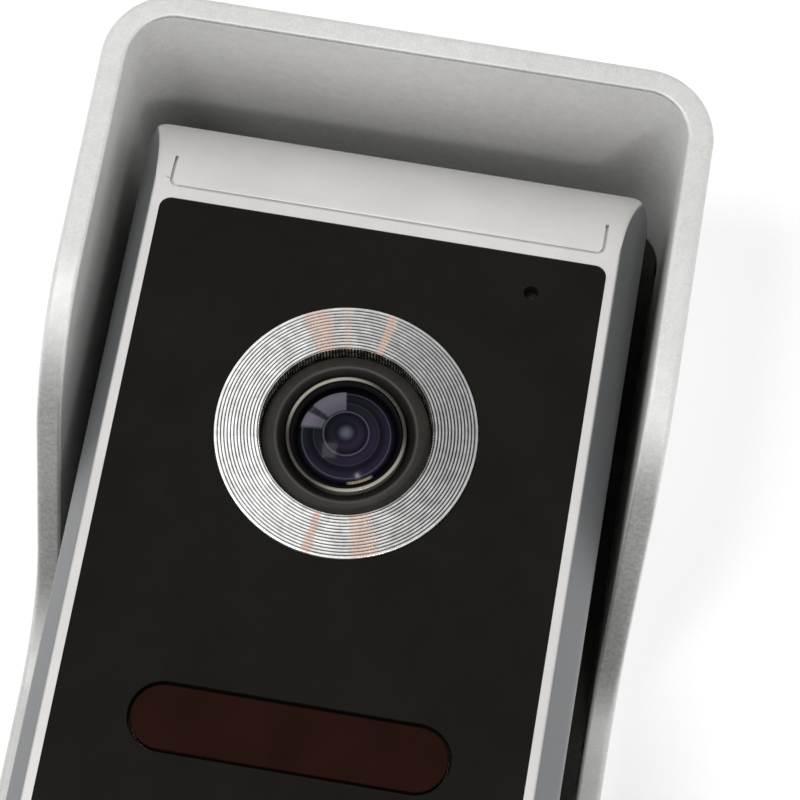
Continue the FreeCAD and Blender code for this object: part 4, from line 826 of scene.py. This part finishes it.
def hood_stations(line):
    """(x, z, normal x, normal z) round the outside, with stations where the rim curves."""
    half_x = HOOD_HIGH.x - HOOD_CORNER
    half_z = HOOD_HIGH.z - HOOD_CORNER
    heights = [z for z, _, _ in line if -half_z < z < half_z]
    heights = sorted(set(round(z, 7) for z in heights), reverse=True)
    stations = []

    def corner(cx, cz, first):
        for step in range(CORNER_STEPS + 1):
            angle = math.radians(first - 90.0 * step / CORNER_STEPS)
            nx, nz = math.cos(angle), math.sin(angle)
            stations.append((cx + HOOD_CORNER * nx, cz + HOOD_CORNER * nz, nx, nz))

    for step in range(1, STRAIGHT_STEPS):
        stations.append((-half_x + 2 * half_x * step / STRAIGHT_STEPS, HOOD_HIGH.z, 0.0, 1.0))
    corner(half_x, half_z, 90.0)
    for z in heights:
        stations.append((HOOD_HIGH.x, z, 1.0, 0.0))
    corner(half_x, -half_z, 0.0)
    for step in range(1, STRAIGHT_STEPS):
        stations.append((half_x - 2 * half_x * step / STRAIGHT_STEPS, HOOD_LOW.z, 0.0, -1.0))
    corner(-half_x, -half_z, -90.0)
    for z in reversed(heights):
        stations.append((HOOD_LOW.x, z, -1.0, 0.0))
    corner(-half_x, half_z, 180.0)
    return stations


def rim_section():
    """(inset, sink) pairs over the rim, from the outer wall to the inner wall."""
    pairs = []
    angles = [math.radians(90.0 * step / RIM_STEPS) for step in range(RIM_STEPS + 1)]
    for angle in angles:
        pairs.append((RIM_OUTER_ROUND * (1 - math.cos(angle)),
                      RIM_OUTER_ROUND * (1 - math.sin(angle))))
    pairs.append((HOOD_WALL * 0.5, 0.0))
    for angle in angles:
        pairs.append((HOOD_WALL - RIM_INNER_ROUND * (1 - math.sin(angle)),
                      RIM_INNER_ROUND * (1 - math.cos(angle))))
    return pairs


def hood_shell():
    """The hood without its holes: one section, carried round the outline."""
    line = rim_line()
    stations = hood_stations(line)
    pairs = rim_section()
    made = bmesh.new()
    loops = []
    for x, z, nx, nz in stations:
        loop = []

        def add(inset, y):
            loop.append(made.verts.new((x - nx * inset, y, z - nz * inset)))

        add(HOOD_BACK_ROUND, 0.0)
        add(HOOD_BACK_ROUND * 0.3, -HOOD_BACK_ROUND * 0.3)
        add(0.0, -HOOD_BACK_ROUND)
        for inset, sink in pairs:
            pz = z - nz * inset
            y, slope = rim_at(pz, line)
            normal_y, normal_z = -math.cos(slope), -math.sin(slope)
            spot = (x - nx * inset, y - normal_y * sink, pz - normal_z * sink)
            loop.append(made.verts.new(spot))
        add(HOOD_WALL, -HOOD_FLOOR - FLOOR_FILLET)
        add(HOOD_WALL + FLOOR_FILLET / 3, -HOOD_FLOOR - FLOOR_FILLET / 3)
        add(HOOD_WALL + FLOOR_FILLET, -HOOD_FLOOR)
        loops.append(loop)
    quads(made, loops, True, False)
    made.faces.new([loop[0] for loop in loops])
    made.faces.new([loop[-1] for loop in reversed(loops)])
    weld(made)
    return face_outwards(made)


def seal_groove():
    """The groove in the hood's back that the wall seal lies in."""
    low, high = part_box("wall_seal")
    outer = round_rect(high.x + SEAL_GAP, high.z + SEAL_GAP, SEAL_CORNER)
    inset = SEAL_WIDTH + SEAL_GAP
    inner = round_rect(high.x - inset, high.z - inset, SEAL_INNER_CORNER)
    return ring_prism(outer, inner, low.y, 1.0 * MM)


def make_hood():
    """The hood with its holes: for the wall screws, the bracket's screws, the cable, the seal."""
    piece = new_piece("hood_shell", hood_shell(), "hood_paint", STATION, ("rain_hood",))
    tools = []
    front, back = -4.0 * MM, 1.0 * MM
    for x in (-WALL_HOLE_X, WALL_HOLE_X):
        for z in (-WALL_HOLE_Z, WALL_HOLE_Z):
            tools.append(drill(x, z, [(WALL_HOLE, front), (WALL_HOLE, back)]))
    for x, z in BRACKET_SCREWS:
        tools.append(drill(x, z, [(SCREW_HOLE, front), (SCREW_HOLE, -SINK_DEPTH),
                                  (SCREW_SINK, -SINK_DEPTH), (SCREW_SINK, back)]))
    tools.append(drill(0.0, CABLE_Z, [(CABLE_HOLE, front), (CABLE_HOLE, back)], 96))
    tools.append(mesh_object("seal_groove", seal_groove()))
    cut_away(piece, tools)
    smooth(piece.data)
    weigh_normals(piece)


# ---------------------------------------------------------------- bezel, panel and window

BODY_Z = -2.5 * MM
BEZEL_FRONT = 27.5 * MM
BEZEL_FLARE = 3.0 * MM
FLARE_DEPTH = 8.0 * MM
BEZEL_END = 56.0 * MM
BEZEL_ROLL = 11.8 * MM
BEZEL_EDGE = 0.45 * MM
SKIN = 0.06 * MM
CORNER_FRONT = 0.7 * MM
CORNER_BACK = 4.6 * MM
GROOVE_SIDE = 25.7 * MM
GROOVE_WIDTH = 0.34 * MM
GROOVE_TIP = 4.2 * MM
GROOVE_TURN = 1.0 * MM
GROOVE_DEPTH = 0.5 * MM
FLARE_BEND = 1.5 * MM
CORNER_START = 4.5 * MM
CORNER_RUN = 5.5 * MM
FLARE_WAIST = 0.12 * MM
PANE_REACH = 1.6 * MM
PANE_GAP = 0.05 * MM


def ease(value):
    """0 to 1 with a soft start and end."""
    value = max(0.0, min(1.0, value))
    return value * value * (3 - 2 * value)


def bezel_loop(depth, inset):
    """The bezel's outline at a depth behind the front plane, drawn in by an inset."""
    flare = min(depth, FLARE_DEPTH) / FLARE_DEPTH
    bend = max(0.0, 1 - abs(depth - FLARE_DEPTH) / FLARE_BEND)
    half_x = BEZEL_FRONT + BEZEL_FLARE * flare - FLARE_WAIST * bend * bend
    if depth < BEZEL_EDGE:
        half_x -= BEZEL_EDGE * (1 - math.sqrt(1 - (1 - depth / BEZEL_EDGE) ** 2))
    rest = max(0.0, BEZEL_ROLL - depth)
    half_z = BEZEL_END + math.sqrt(max(0.0, (BEZEL_ROLL - inset) ** 2 - rest ** 2))
    share = ease((depth - CORNER_START) / CORNER_RUN)
    radius = CORNER_FRONT + (CORNER_BACK - CORNER_FRONT) * share
    spots = round_rect(half_x - inset, half_z, radius, 10, BODY_Z)
    return [(x, PANEL_Y + depth, z) for x, z in spots]


def bezel_form(inset):
    """The bezel's whole outer form as a solid, drawn in by an inset."""
    depths = [inset, inset + 0.04 * MM, inset + 0.1 * MM, inset + 0.2 * MM, inset + 0.35 * MM]
    for step in range(8, 61):
        depth = BEZEL_ROLL * (1 - math.cos(math.radians(1.5 * step)))
        if depth > depths[4]:
            depths.append(depth)
    depths += [13.0 * MM, 15.0 * MM]
    depths = sorted(set(round(depth, 8) for depth in depths))
    return loft([bezel_loop(depth, inset) for depth in depths])


def groove_strip(sign):
    """The shadow line's outline with both ends turned outwards, as a deep prism."""
    spots = []
    for reach, side, turn in ((GROOVE_SIDE, 1, GROOVE_TURN),
                              (GROOVE_SIDE - GROOVE_WIDTH, -1, GROOVE_TURN - GROOVE_WIDTH)):
        centre_x = GROOVE_SIDE - GROOVE_TURN
        half = [(reach, BEZEL_END + GROOVE_TIP)]
        for step in range(9):
            angle = math.radians(90.0 * step / 8)
            half.append((centre_x + turn * math.cos(angle),
                         BEZEL_END + GROOVE_TURN - turn * math.sin(angle)))
        whole = [(-x, z) for x, z in half] + [(x, z) for x, z in reversed(half)]
        spots += whole if side > 0 else list(reversed(whole))
    front = [(x, PANEL_Y - 1.0 * MM, BODY_Z + sign * z) for x, z in spots]
    back = [(x, PANEL_Y + 11.0 * MM, z) for x, _, z in front]
    return loft([front, back])


def make_bezel():
    """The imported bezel, trimmed by a softer outer form, with its shadow lines cut deeper."""
    piece = new_piece("bezel_shell", cad_mesh("front_bezel"), "bezel_paint", STATION,
                      ("front_bezel",))
    cut_away(piece, [mesh_object("bezel_form", bezel_form(SKIN))], "INTERSECT")
    for sign in (1, -1):
        strip = mesh_object("groove_strip", groove_strip(sign))
        cut_away(strip, [mesh_object("groove_core", bezel_form(GROOVE_DEPTH))])
        cut_away(piece, [strip])
    smooth(piece.data, 24.0)
    weigh_normals(piece)


def adhesive_sheet():
    """The film, with its window opening drawn close round the pane, so that the black film fills the
    gap as a dark sheet where there is shade.
    """
    made = cad_copy("panel_adhesive")
    low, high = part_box("ir_window")
    centre_z = (low.z + high.z) / 2
    straight = (high.x - low.x - (high.z - low.z)) / 2
    tall = (high.z - low.z) / 2
    # the black film is drawn into the gap round the pane, a dark sheet standing in for the gap's
    # shade
    for vertex in made.verts:
        x, z = vertex.co.x, vertex.co.z - centre_z
        if abs(z) > tall + PANE_REACH or abs(x) > high.x + PANE_REACH:
            continue
        foot = max(-straight, min(straight, x))
        arm = Vector((x - foot, 0.0, z))
        arm = arm.normalized() * (tall + PANE_GAP)
        vertex.co = Vector((foot + arm.x, vertex.co.y, centre_z + arm.z))
    return made


def make_panel():
    """The front panel and the infrared window with softened edges, and the film behind them."""
    made = cad_copy("front_panel")
    round_edges(made, 0.12 * MM, lambda spot: spot.y < PANEL_Y + 0.3 * MM)
    new_piece("panel_plate", made, "panel_black", STATION, ("front_panel",))
    made = cad_copy("ir_window")
    round_edges(made, 0.2 * MM, lambda spot: spot.y < PANEL_Y + 0.5 * MM)
    new_piece("window_pane", made, "ir_window_plastic", STATION, ("ir_window",))
    new_piece("adhesive_sheet", adhesive_sheet(), "tape_film", STATION, ("panel_adhesive",))


# ---------------------------------------------------------------- camera ring and lens

RING_DEPTH = 0.14 * MM
RING_CHAMFER = 0.12 * MM
RING_OUTER_EDGE = 0.1 * MM
TOOTH = 0.10 * MM
# share of the pitch, share of the depth
GROOVE_SECTION = ((0.02, 0.0), (0.18, 0.75), (0.30, 1.0), (0.42, 0.75), (0.58, 0.0), (0.80, 0.0))


def make_ring():
    """Concentric grooves on the face, and fine teeth on the wall of the bore."""
    low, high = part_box("camera_ring")
    front, back = low.y, high.y
    corners = [(RING_INNER, front + RING_CHAMFER), (RING_INNER + RING_CHAMFER, front)]
    for number in range(RING_GROOVES):
        start = RING_INNER + RING_EDGE + RING_PITCH * number
        for across, sink in GROOVE_SECTION:
            corners.append((start + RING_PITCH * across, front + RING_DEPTH * sink))
    corners += [(RING_OUTER - RING_OUTER_EDGE, front), (RING_OUTER, front + RING_OUTER_EDGE),
                (RING_OUTER, back), (RING_INNER, back)]
    made = lathe(corners, LENS, RING_TEETH * 2)
    for vertex in made.verts:
        arm = Vector((vertex.co.x - LENS.x, 0.0, vertex.co.z - LENS.z))
        if arm.length > RING_INNER + 0.01 * MM:
            continue
        turn = math.atan2(arm.z, arm.x) / (2 * math.pi) * RING_TEETH * 2
        if round(turn) % 2:
            vertex.co += arm.normalized() * TOOTH
    new_piece("ring_turned", made, "ring_metal", STATION, ("camera_ring",), 60.0)


def rounded(corners, radius, steps=4):
    """A closed outline in mm with each corner turned into an arc where there is room."""
    result = []
    corners = [Vector(corner) * MM for corner in corners]
    radius *= MM
    for index, here in enumerate(corners):
        before = corners[index - 1] - here
        after = corners[(index + 1) % len(corners)] - here
        room = min(radius, before.length * 0.45, after.length * 0.45)
        if before.angle(after) > math.radians(165) or room < 0.01 * MM:
            result.append(tuple(here))
            continue
        first, last = here + before.normalized() * room, here + after.normalized() * room
        for step in range(steps + 1):
            share = step / steps
            result.append(tuple(first.lerp(here, share).lerp(here.lerp(last, share), share)))
    return result


def sharp(corners):
    """An outline in mm as it is."""
    return [(radius * MM, depth * MM) for radius, depth in corners]


def dome(radius, edge_depth, sag, steps=20):
    """An outline over a spherical cap, from the axis to its edge; sizes in mm."""
    ball = (radius * radius + sag * sag) / (2 * sag)
    corners = []
    for step in range(steps + 1):
        reach = radius * step / steps
        corners.append((reach, edge_depth - sag + ball - math.sqrt(ball * ball - reach * reach)))
    return sharp(corners)


def turned(name, node, outline, slot, degrees=40.0):
    """A turned piece of the lens in place of a node; depths are behind the panel's plane."""
    placed = [(radius, PANEL_Y + depth) for radius, depth in outline]
    new_piece(name, lathe(placed, LENS, 192), slot, STATION, (node,), degrees)


GLASS_RADIUS = 5.8
GLASS_EDGE = 2.1
GLASS_BACK = 4.55
GLASS_FOOT = 5.45
REAR_RADIUS = 3.5
REAR_EDGE = 10.9
REAR_BACK = 13.5
BAFFLE_STEPS = 5


def make_lens():
    """The lens from its surround to its rear glass, as outlines of (radius, depth) in mm."""
    mouth, rim = SURROUND_MOUTH / MM, BARREL_LIP / MM
    bore = rim + 0.1
    turned("surround_ring", "lens_surround", rounded((
        (bore, 1.9), (mouth - 0.15, 0.85), (mouth + 0.1, 0.75), (9.68, 1.95), (9.68, 4.0),
        (12.0, 4.0), (12.0, 5.2), (bore, 5.2)), 0.15), "surround_black")
    turned("barrel_body", "lens_barrel", rounded((
        (rim - 0.5, 0.75), (rim, 0.75), (rim, 4.2), (6.0, 4.2), (6.0, 17.0), (3.6, 17.0),
        (3.6, 9.5), (5.0, 9.5), (5.0, 4.6), (5.55, 4.6), (5.55, 2.2), (rim - 0.5, 2.2)),
        0.22, 6), "barrel_black")
    turned("retainer_ring", "lens_retainer", rounded((
        (5.84, 1.30), (6.28, 0.85), (6.38, 1.0), (6.38, 2.15), (5.84, 2.15)), 0.1),
        "barrel_black")
    bulge = GLASS_EDGE - (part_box("lens_front_element")[0].y - PANEL_Y) / MM
    hollow = dome(REAR_RADIUS, GLASS_BACK, 1.7)
    turned("front_glass", "lens_front_element", dome(GLASS_RADIUS, GLASS_EDGE, bulge, 28) + sharp((
        (GLASS_RADIUS, 2.17), (GLASS_FOOT, 2.17), (GLASS_FOOT, GLASS_BACK)))
        + hollow[::-1], "lens_glass", 50.0)
    steps = []
    for step in range(BAFFLE_STEPS):
        depth = 8.1 - 0.55 * step
        steps += [(2.0 + 0.2 * step, depth), (2.15 + 0.2 * step, depth)]
    turned("baffle_steps", "lens_baffle", sharp([
        (3.1, 4.6), (4.95, 4.6), (4.95, 9.4), (1.5, 9.4), (1.5, 8.7), (1.9, 8.4)] + steps),
        "baffle_black")
    turned("rear_glass", "lens_rear_element", dome(REAR_RADIUS, REAR_EDGE, 1.4) + sharp((
        (REAR_RADIUS, REAR_BACK), (0.0, REAR_BACK))), "lens_glass", 50.0)


# ---------------------------------------------------------------- speaker mesh and button spring

MESH_WIRE = 0.055 * MM
MESH_PITCH = 0.62 * MM
MESH_WAVE = 0.06 * MM
MESH_SIDES = 5
SPRING_WIRE = 0.25 * MM
SPRING_TURNS = 4
SPRING_STEPS = 40
SPRING_SIDES = 10


def woven_mesh():
    """Crossing wires inside a disc, over and under each other."""
    middle_y = middle("speaker_mesh").y
    radius = half_width("speaker_mesh") - 0.1 * MM
    count = int(radius / MESH_PITCH)
    made = bmesh.new()
    for along in (0, 1):
        for number in range(-count, count + 1):
            across = number * MESH_PITCH
            reach = math.sqrt(radius * radius - across * across)
            steps = max(2, int(2 * reach / (MESH_PITCH / 2)))
            rows = []
            for step in range(steps + 1):
                place = -reach + 2 * reach * step / steps
                phase = math.pi * (place / MESH_PITCH + number + along)
                y = middle_y + MESH_WAVE * math.cos(phase)
                ring = []
                for side in range(MESH_SIDES):
                    angle = 2 * math.pi * side / MESH_SIDES
                    off, lift = MESH_WIRE * math.cos(angle), MESH_WIRE * math.sin(angle)
                    dx, dz = (across + off, place) if along else (place, across + off)
                    ring.append(made.verts.new((SPEAKER.x + dx, y + lift, SPEAKER.z + dz)))
                rows.append(ring)
            quads(made, rows)
            close_ends(made, rows)
    return face_outwards(made)


def tube(path, radius, sides):
    """A closed round wire along a path of points."""
    made = bmesh.new()
    rows = []
    for index, spot in enumerate(path):
        along = path[min(len(path) - 1, index + 1)] - path[max(0, index - 1)]
        along.normalize()
        side_way = along.cross(Vector((0.0, 1.0, 0.0))).normalized()
        up_way = side_way.cross(along)
        ring = []
        for side in range(sides):
            angle = 2 * math.pi * side / sides
            ring.append(made.verts.new(spot + side_way * (radius * math.cos(angle))
                                       + up_way * (radius * math.sin(angle))))
        rows.append(ring)
    quads(made, rows)
    close_ends(made, rows)
    return face_outwards(made)


def make_spring():
    """The return coil."""
    low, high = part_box("button_spring")
    radius = (high.x - low.x) / 2 - SPRING_WIRE
    start, end = low.y + SPRING_WIRE, high.y - SPRING_WIRE
    path = []
    steps = SPRING_TURNS * SPRING_STEPS
    for step in range(steps + 1):
        angle = 2 * math.pi * SPRING_TURNS * step / steps
        path.append(Vector((radius * math.cos(angle), start + (end - start) * step / steps,
                            BUTTON.z + radius * math.sin(angle))))
    piece = new_piece("return_coil", tube(path, SPRING_WIRE, SPRING_SIDES), "spring_steel",
                      STATION, ("button_spring",), 60.0)
    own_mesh(piece)


def make_speaker():
    new_piece("speaker_weave", woven_mesh(), "speaker_mesh_metal", STATION, ("speaker_mesh",), 80.0)


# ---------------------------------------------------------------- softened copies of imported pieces

SOFTENED = (
    # node, shown name, width of its rounded edges in mm
    ("rear_case", "case_shell", 0.5),
    ("mounting_bracket", "bracket_plate", 0.3),
    ("security_screw", "lock_screw", 0.15),
    ("wall_seal", "seal_strip", 0.25),
    ("cable_grommet", "grommet_ring", 0.2),
)
SLOTS = {part["node"]: part["material_slot"] for part in frame["record"]["subparts"]}


def make_softened():
    for node, name, width in SOFTENED:
        made = cad_copy(node)
        round_edges(made, width * MM, lambda spot: True)
        new_piece(name, made, SLOTS[node], STATION, (node,))


def paint_cad():
    """Give every CAD node the detailed material of its own slot."""
    for node, slot in SLOTS.items():
        for holder in frame["nodes"][node].material_slots:
            holder.material = materials[slot]


# ---------------------------------------------------------------- stage, lights, camera

WHITE = (1.0, 1.0, 1.0)
WALL_PLACE = 0.6 * MM
WALL_SIZE = 2.0
WALL_SHADED = 0.85
WALL_GLOW = 0.34
WORLD_LIGHT = 0.58
WORLD_TINT = (0.99, 0.995, 1.0)
SOFTBOXES = (
    # name, azimuth, elevation, distance, side, share of full light on a facing surface
    ("key", -21.0, -6.0, 1.1, 0.35, 0.32),
    ("back", 170.0, 35.0, 1.2, 0.9, 0.20),
)
SNOOT_AIM = Vector((0.0, -28.0, 52.0)) * MM
SNOOT_AZIMUTH, SNOOT_ELEVATION = 24.0, -34.0
SNOOT_SHARE = 0.38
SNOOT_DISTANCE = 0.8
SNOOT_CONE = math.radians(9.0)
SNOOT_SIZE = 0.06
CAMERA_FROM_LENS = Vector((21.4895, -305.1851, -98.5667)) * MM
CAMERA_AZIMUTH, CAMERA_ELEVATION = 3.02187, -18.68713
CAMERA_ROLL = math.radians(10.27254)
CAMERA_LENS = 127.694


class Studio(Nodes):
    """The tree of the wall or the world, which starts empty."""

    def __init__(self, holder):
        super().__init__(holder)
        self.tree.nodes.clear()

    def light(self, kind, colour, strength):
        made = self.node(kind)
        self.put(colour, made.inputs["Color"])
        self.put(strength, made.inputs["Strength"])
        return made.outputs[0]

    def looked_at(self):
        """1 for what the camera sees, directly, in a reflection or through something clear."""
        path = self.node("LightPath").outputs
        return self.strongest([path["Is Camera Ray"], path["Is Glossy Ray"],
                               path["Is Transmission Ray"]])

    def finish(self, kind, amount, first, second):
        """Show the first shader where the amount is 0 and the second where it is 1."""
        mix = self.node("MixShader")
        for source, target in zip((amount, first, second), mix.inputs):
            self.join(source, target)
        self.join(mix.outputs[0], self.node(kind).inputs["Surface"])


def make_stage():
    """A white wall behind the hood. It is seen from the front only, and shows the shadow."""
    made = bmesh.new()
    bmesh.ops.create_grid(made, x_segments=1, y_segments=1, size=WALL_SIZE)
    for vertex in made.verts:
        vertex.co = Vector((vertex.co.x, WALL_PLACE, vertex.co.y))
    wall = mesh_object("wall", made)
    material = bpy.data.materials.new("wall_white")
    studio = Studio(material)
    diffuse = studio.node("BsdfDiffuse")
    studio.put((WALL_SHADED,) * 3, diffuse.inputs["Color"])
    surface = studio.node("AddShader")
    studio.join(diffuse.outputs[0], surface.inputs[0])
    studio.join(studio.light("Emission", WHITE, WALL_GLOW), surface.inputs[1])
    behind = studio.node("NewGeometry").outputs["Backfacing"]
    front = studio.math("SUBTRACT", studio.looked_at(), behind, True)
    studio.finish("OutputMaterial", front, studio.node("BsdfTransparent").outputs[0],
                  surface.outputs[0])
    wall.data.materials.append(material)


def make_world():
    """Dim for what it lights, white where it is looked at, directly or in a reflection."""
    world = bpy.data.worlds.new("studio")
    bpy.context.scene.world = world
    studio = Studio(world)
    studio.finish("OutputWorld", studio.looked_at(),
                  studio.light("Background", WORLD_TINT, WORLD_LIGHT),
                  studio.light("Background", WHITE, 1.0))


def towards(azimuth, elevation):
    """The way from the object to something at these angles in degrees."""
    turn, rise = math.radians(azimuth), math.radians(elevation)
    return Vector((math.sin(turn) * math.cos(rise), -math.cos(turn) * math.cos(rise),
                   math.sin(rise)))


def hang_lamp(data, azimuth, elevation, distance, aim):
    lamp = link_object(data.name, data)
    back = towards(azimuth, elevation)
    lamp.location = aim + back * distance
    lamp.rotation_mode = "QUATERNION"
    lamp.rotation_quaternion = (-back).to_track_quat("-Z", "Y")


def make_lights():
    """Two softboxes, and a narrow beam from below and the right into the top of the hood."""
    for name, azimuth, elevation, distance, side, share in SOFTBOXES:
        data = bpy.data.lights.new(name, "AREA")
        data.shape = "RECTANGLE"
        data.size = side
        data.size_y = side
        data.energy = share * math.pi ** 2 * distance ** 2
        hang_lamp(data, azimuth, elevation, distance, Vector((0.0, 0.0, 0.0)))
    data = bpy.data.lights.new("snoot", "SPOT")
    data.energy = SNOOT_SHARE * 4 * math.pi ** 2 * SNOOT_DISTANCE ** 2
    data.spot_size = SNOOT_CONE
    data.spot_blend = 1.0
    data.shadow_soft_size = SNOOT_SIZE
    hang_lamp(data, SNOOT_AZIMUTH, SNOOT_ELEVATION, SNOOT_DISTANCE, SNOOT_AIM)


def make_camera():
    data = bpy.data.cameras.new("camera")
    data.sensor_width = 36.0
    data.lens = CAMERA_LENS
    data.clip_start = 0.01
    data.clip_end = 20.0
    camera = link_object("camera", data)
    back = towards(CAMERA_AZIMUTH, CAMERA_ELEVATION)
    right = (-back).cross(Vector((0.0, 0.0, 1.0))).normalized()
    up = right.cross(-back)
    columns = (right * math.cos(CAMERA_ROLL) + up * math.sin(CAMERA_ROLL),
               up * math.cos(CAMERA_ROLL) - right * math.sin(CAMERA_ROLL),
               back, LENS + CAMERA_FROM_LENS)
    matrix = camera.matrix_world.copy()
    for row in range(3):
        for place, column in enumerate(columns):
            matrix[row][place] = column[row]
    camera.matrix_world = matrix
    bpy.context.scene.camera = camera


materials = make_materials()
paint_cad()
make_hood()
make_bezel()
make_panel()
make_ring()
make_lens()
make_speaker()
make_spring()
make_softened()
make_stage()
make_world()
make_lights()
make_camera()

scene = bpy.context.scene
scene.view_settings.view_transform = "Standard"
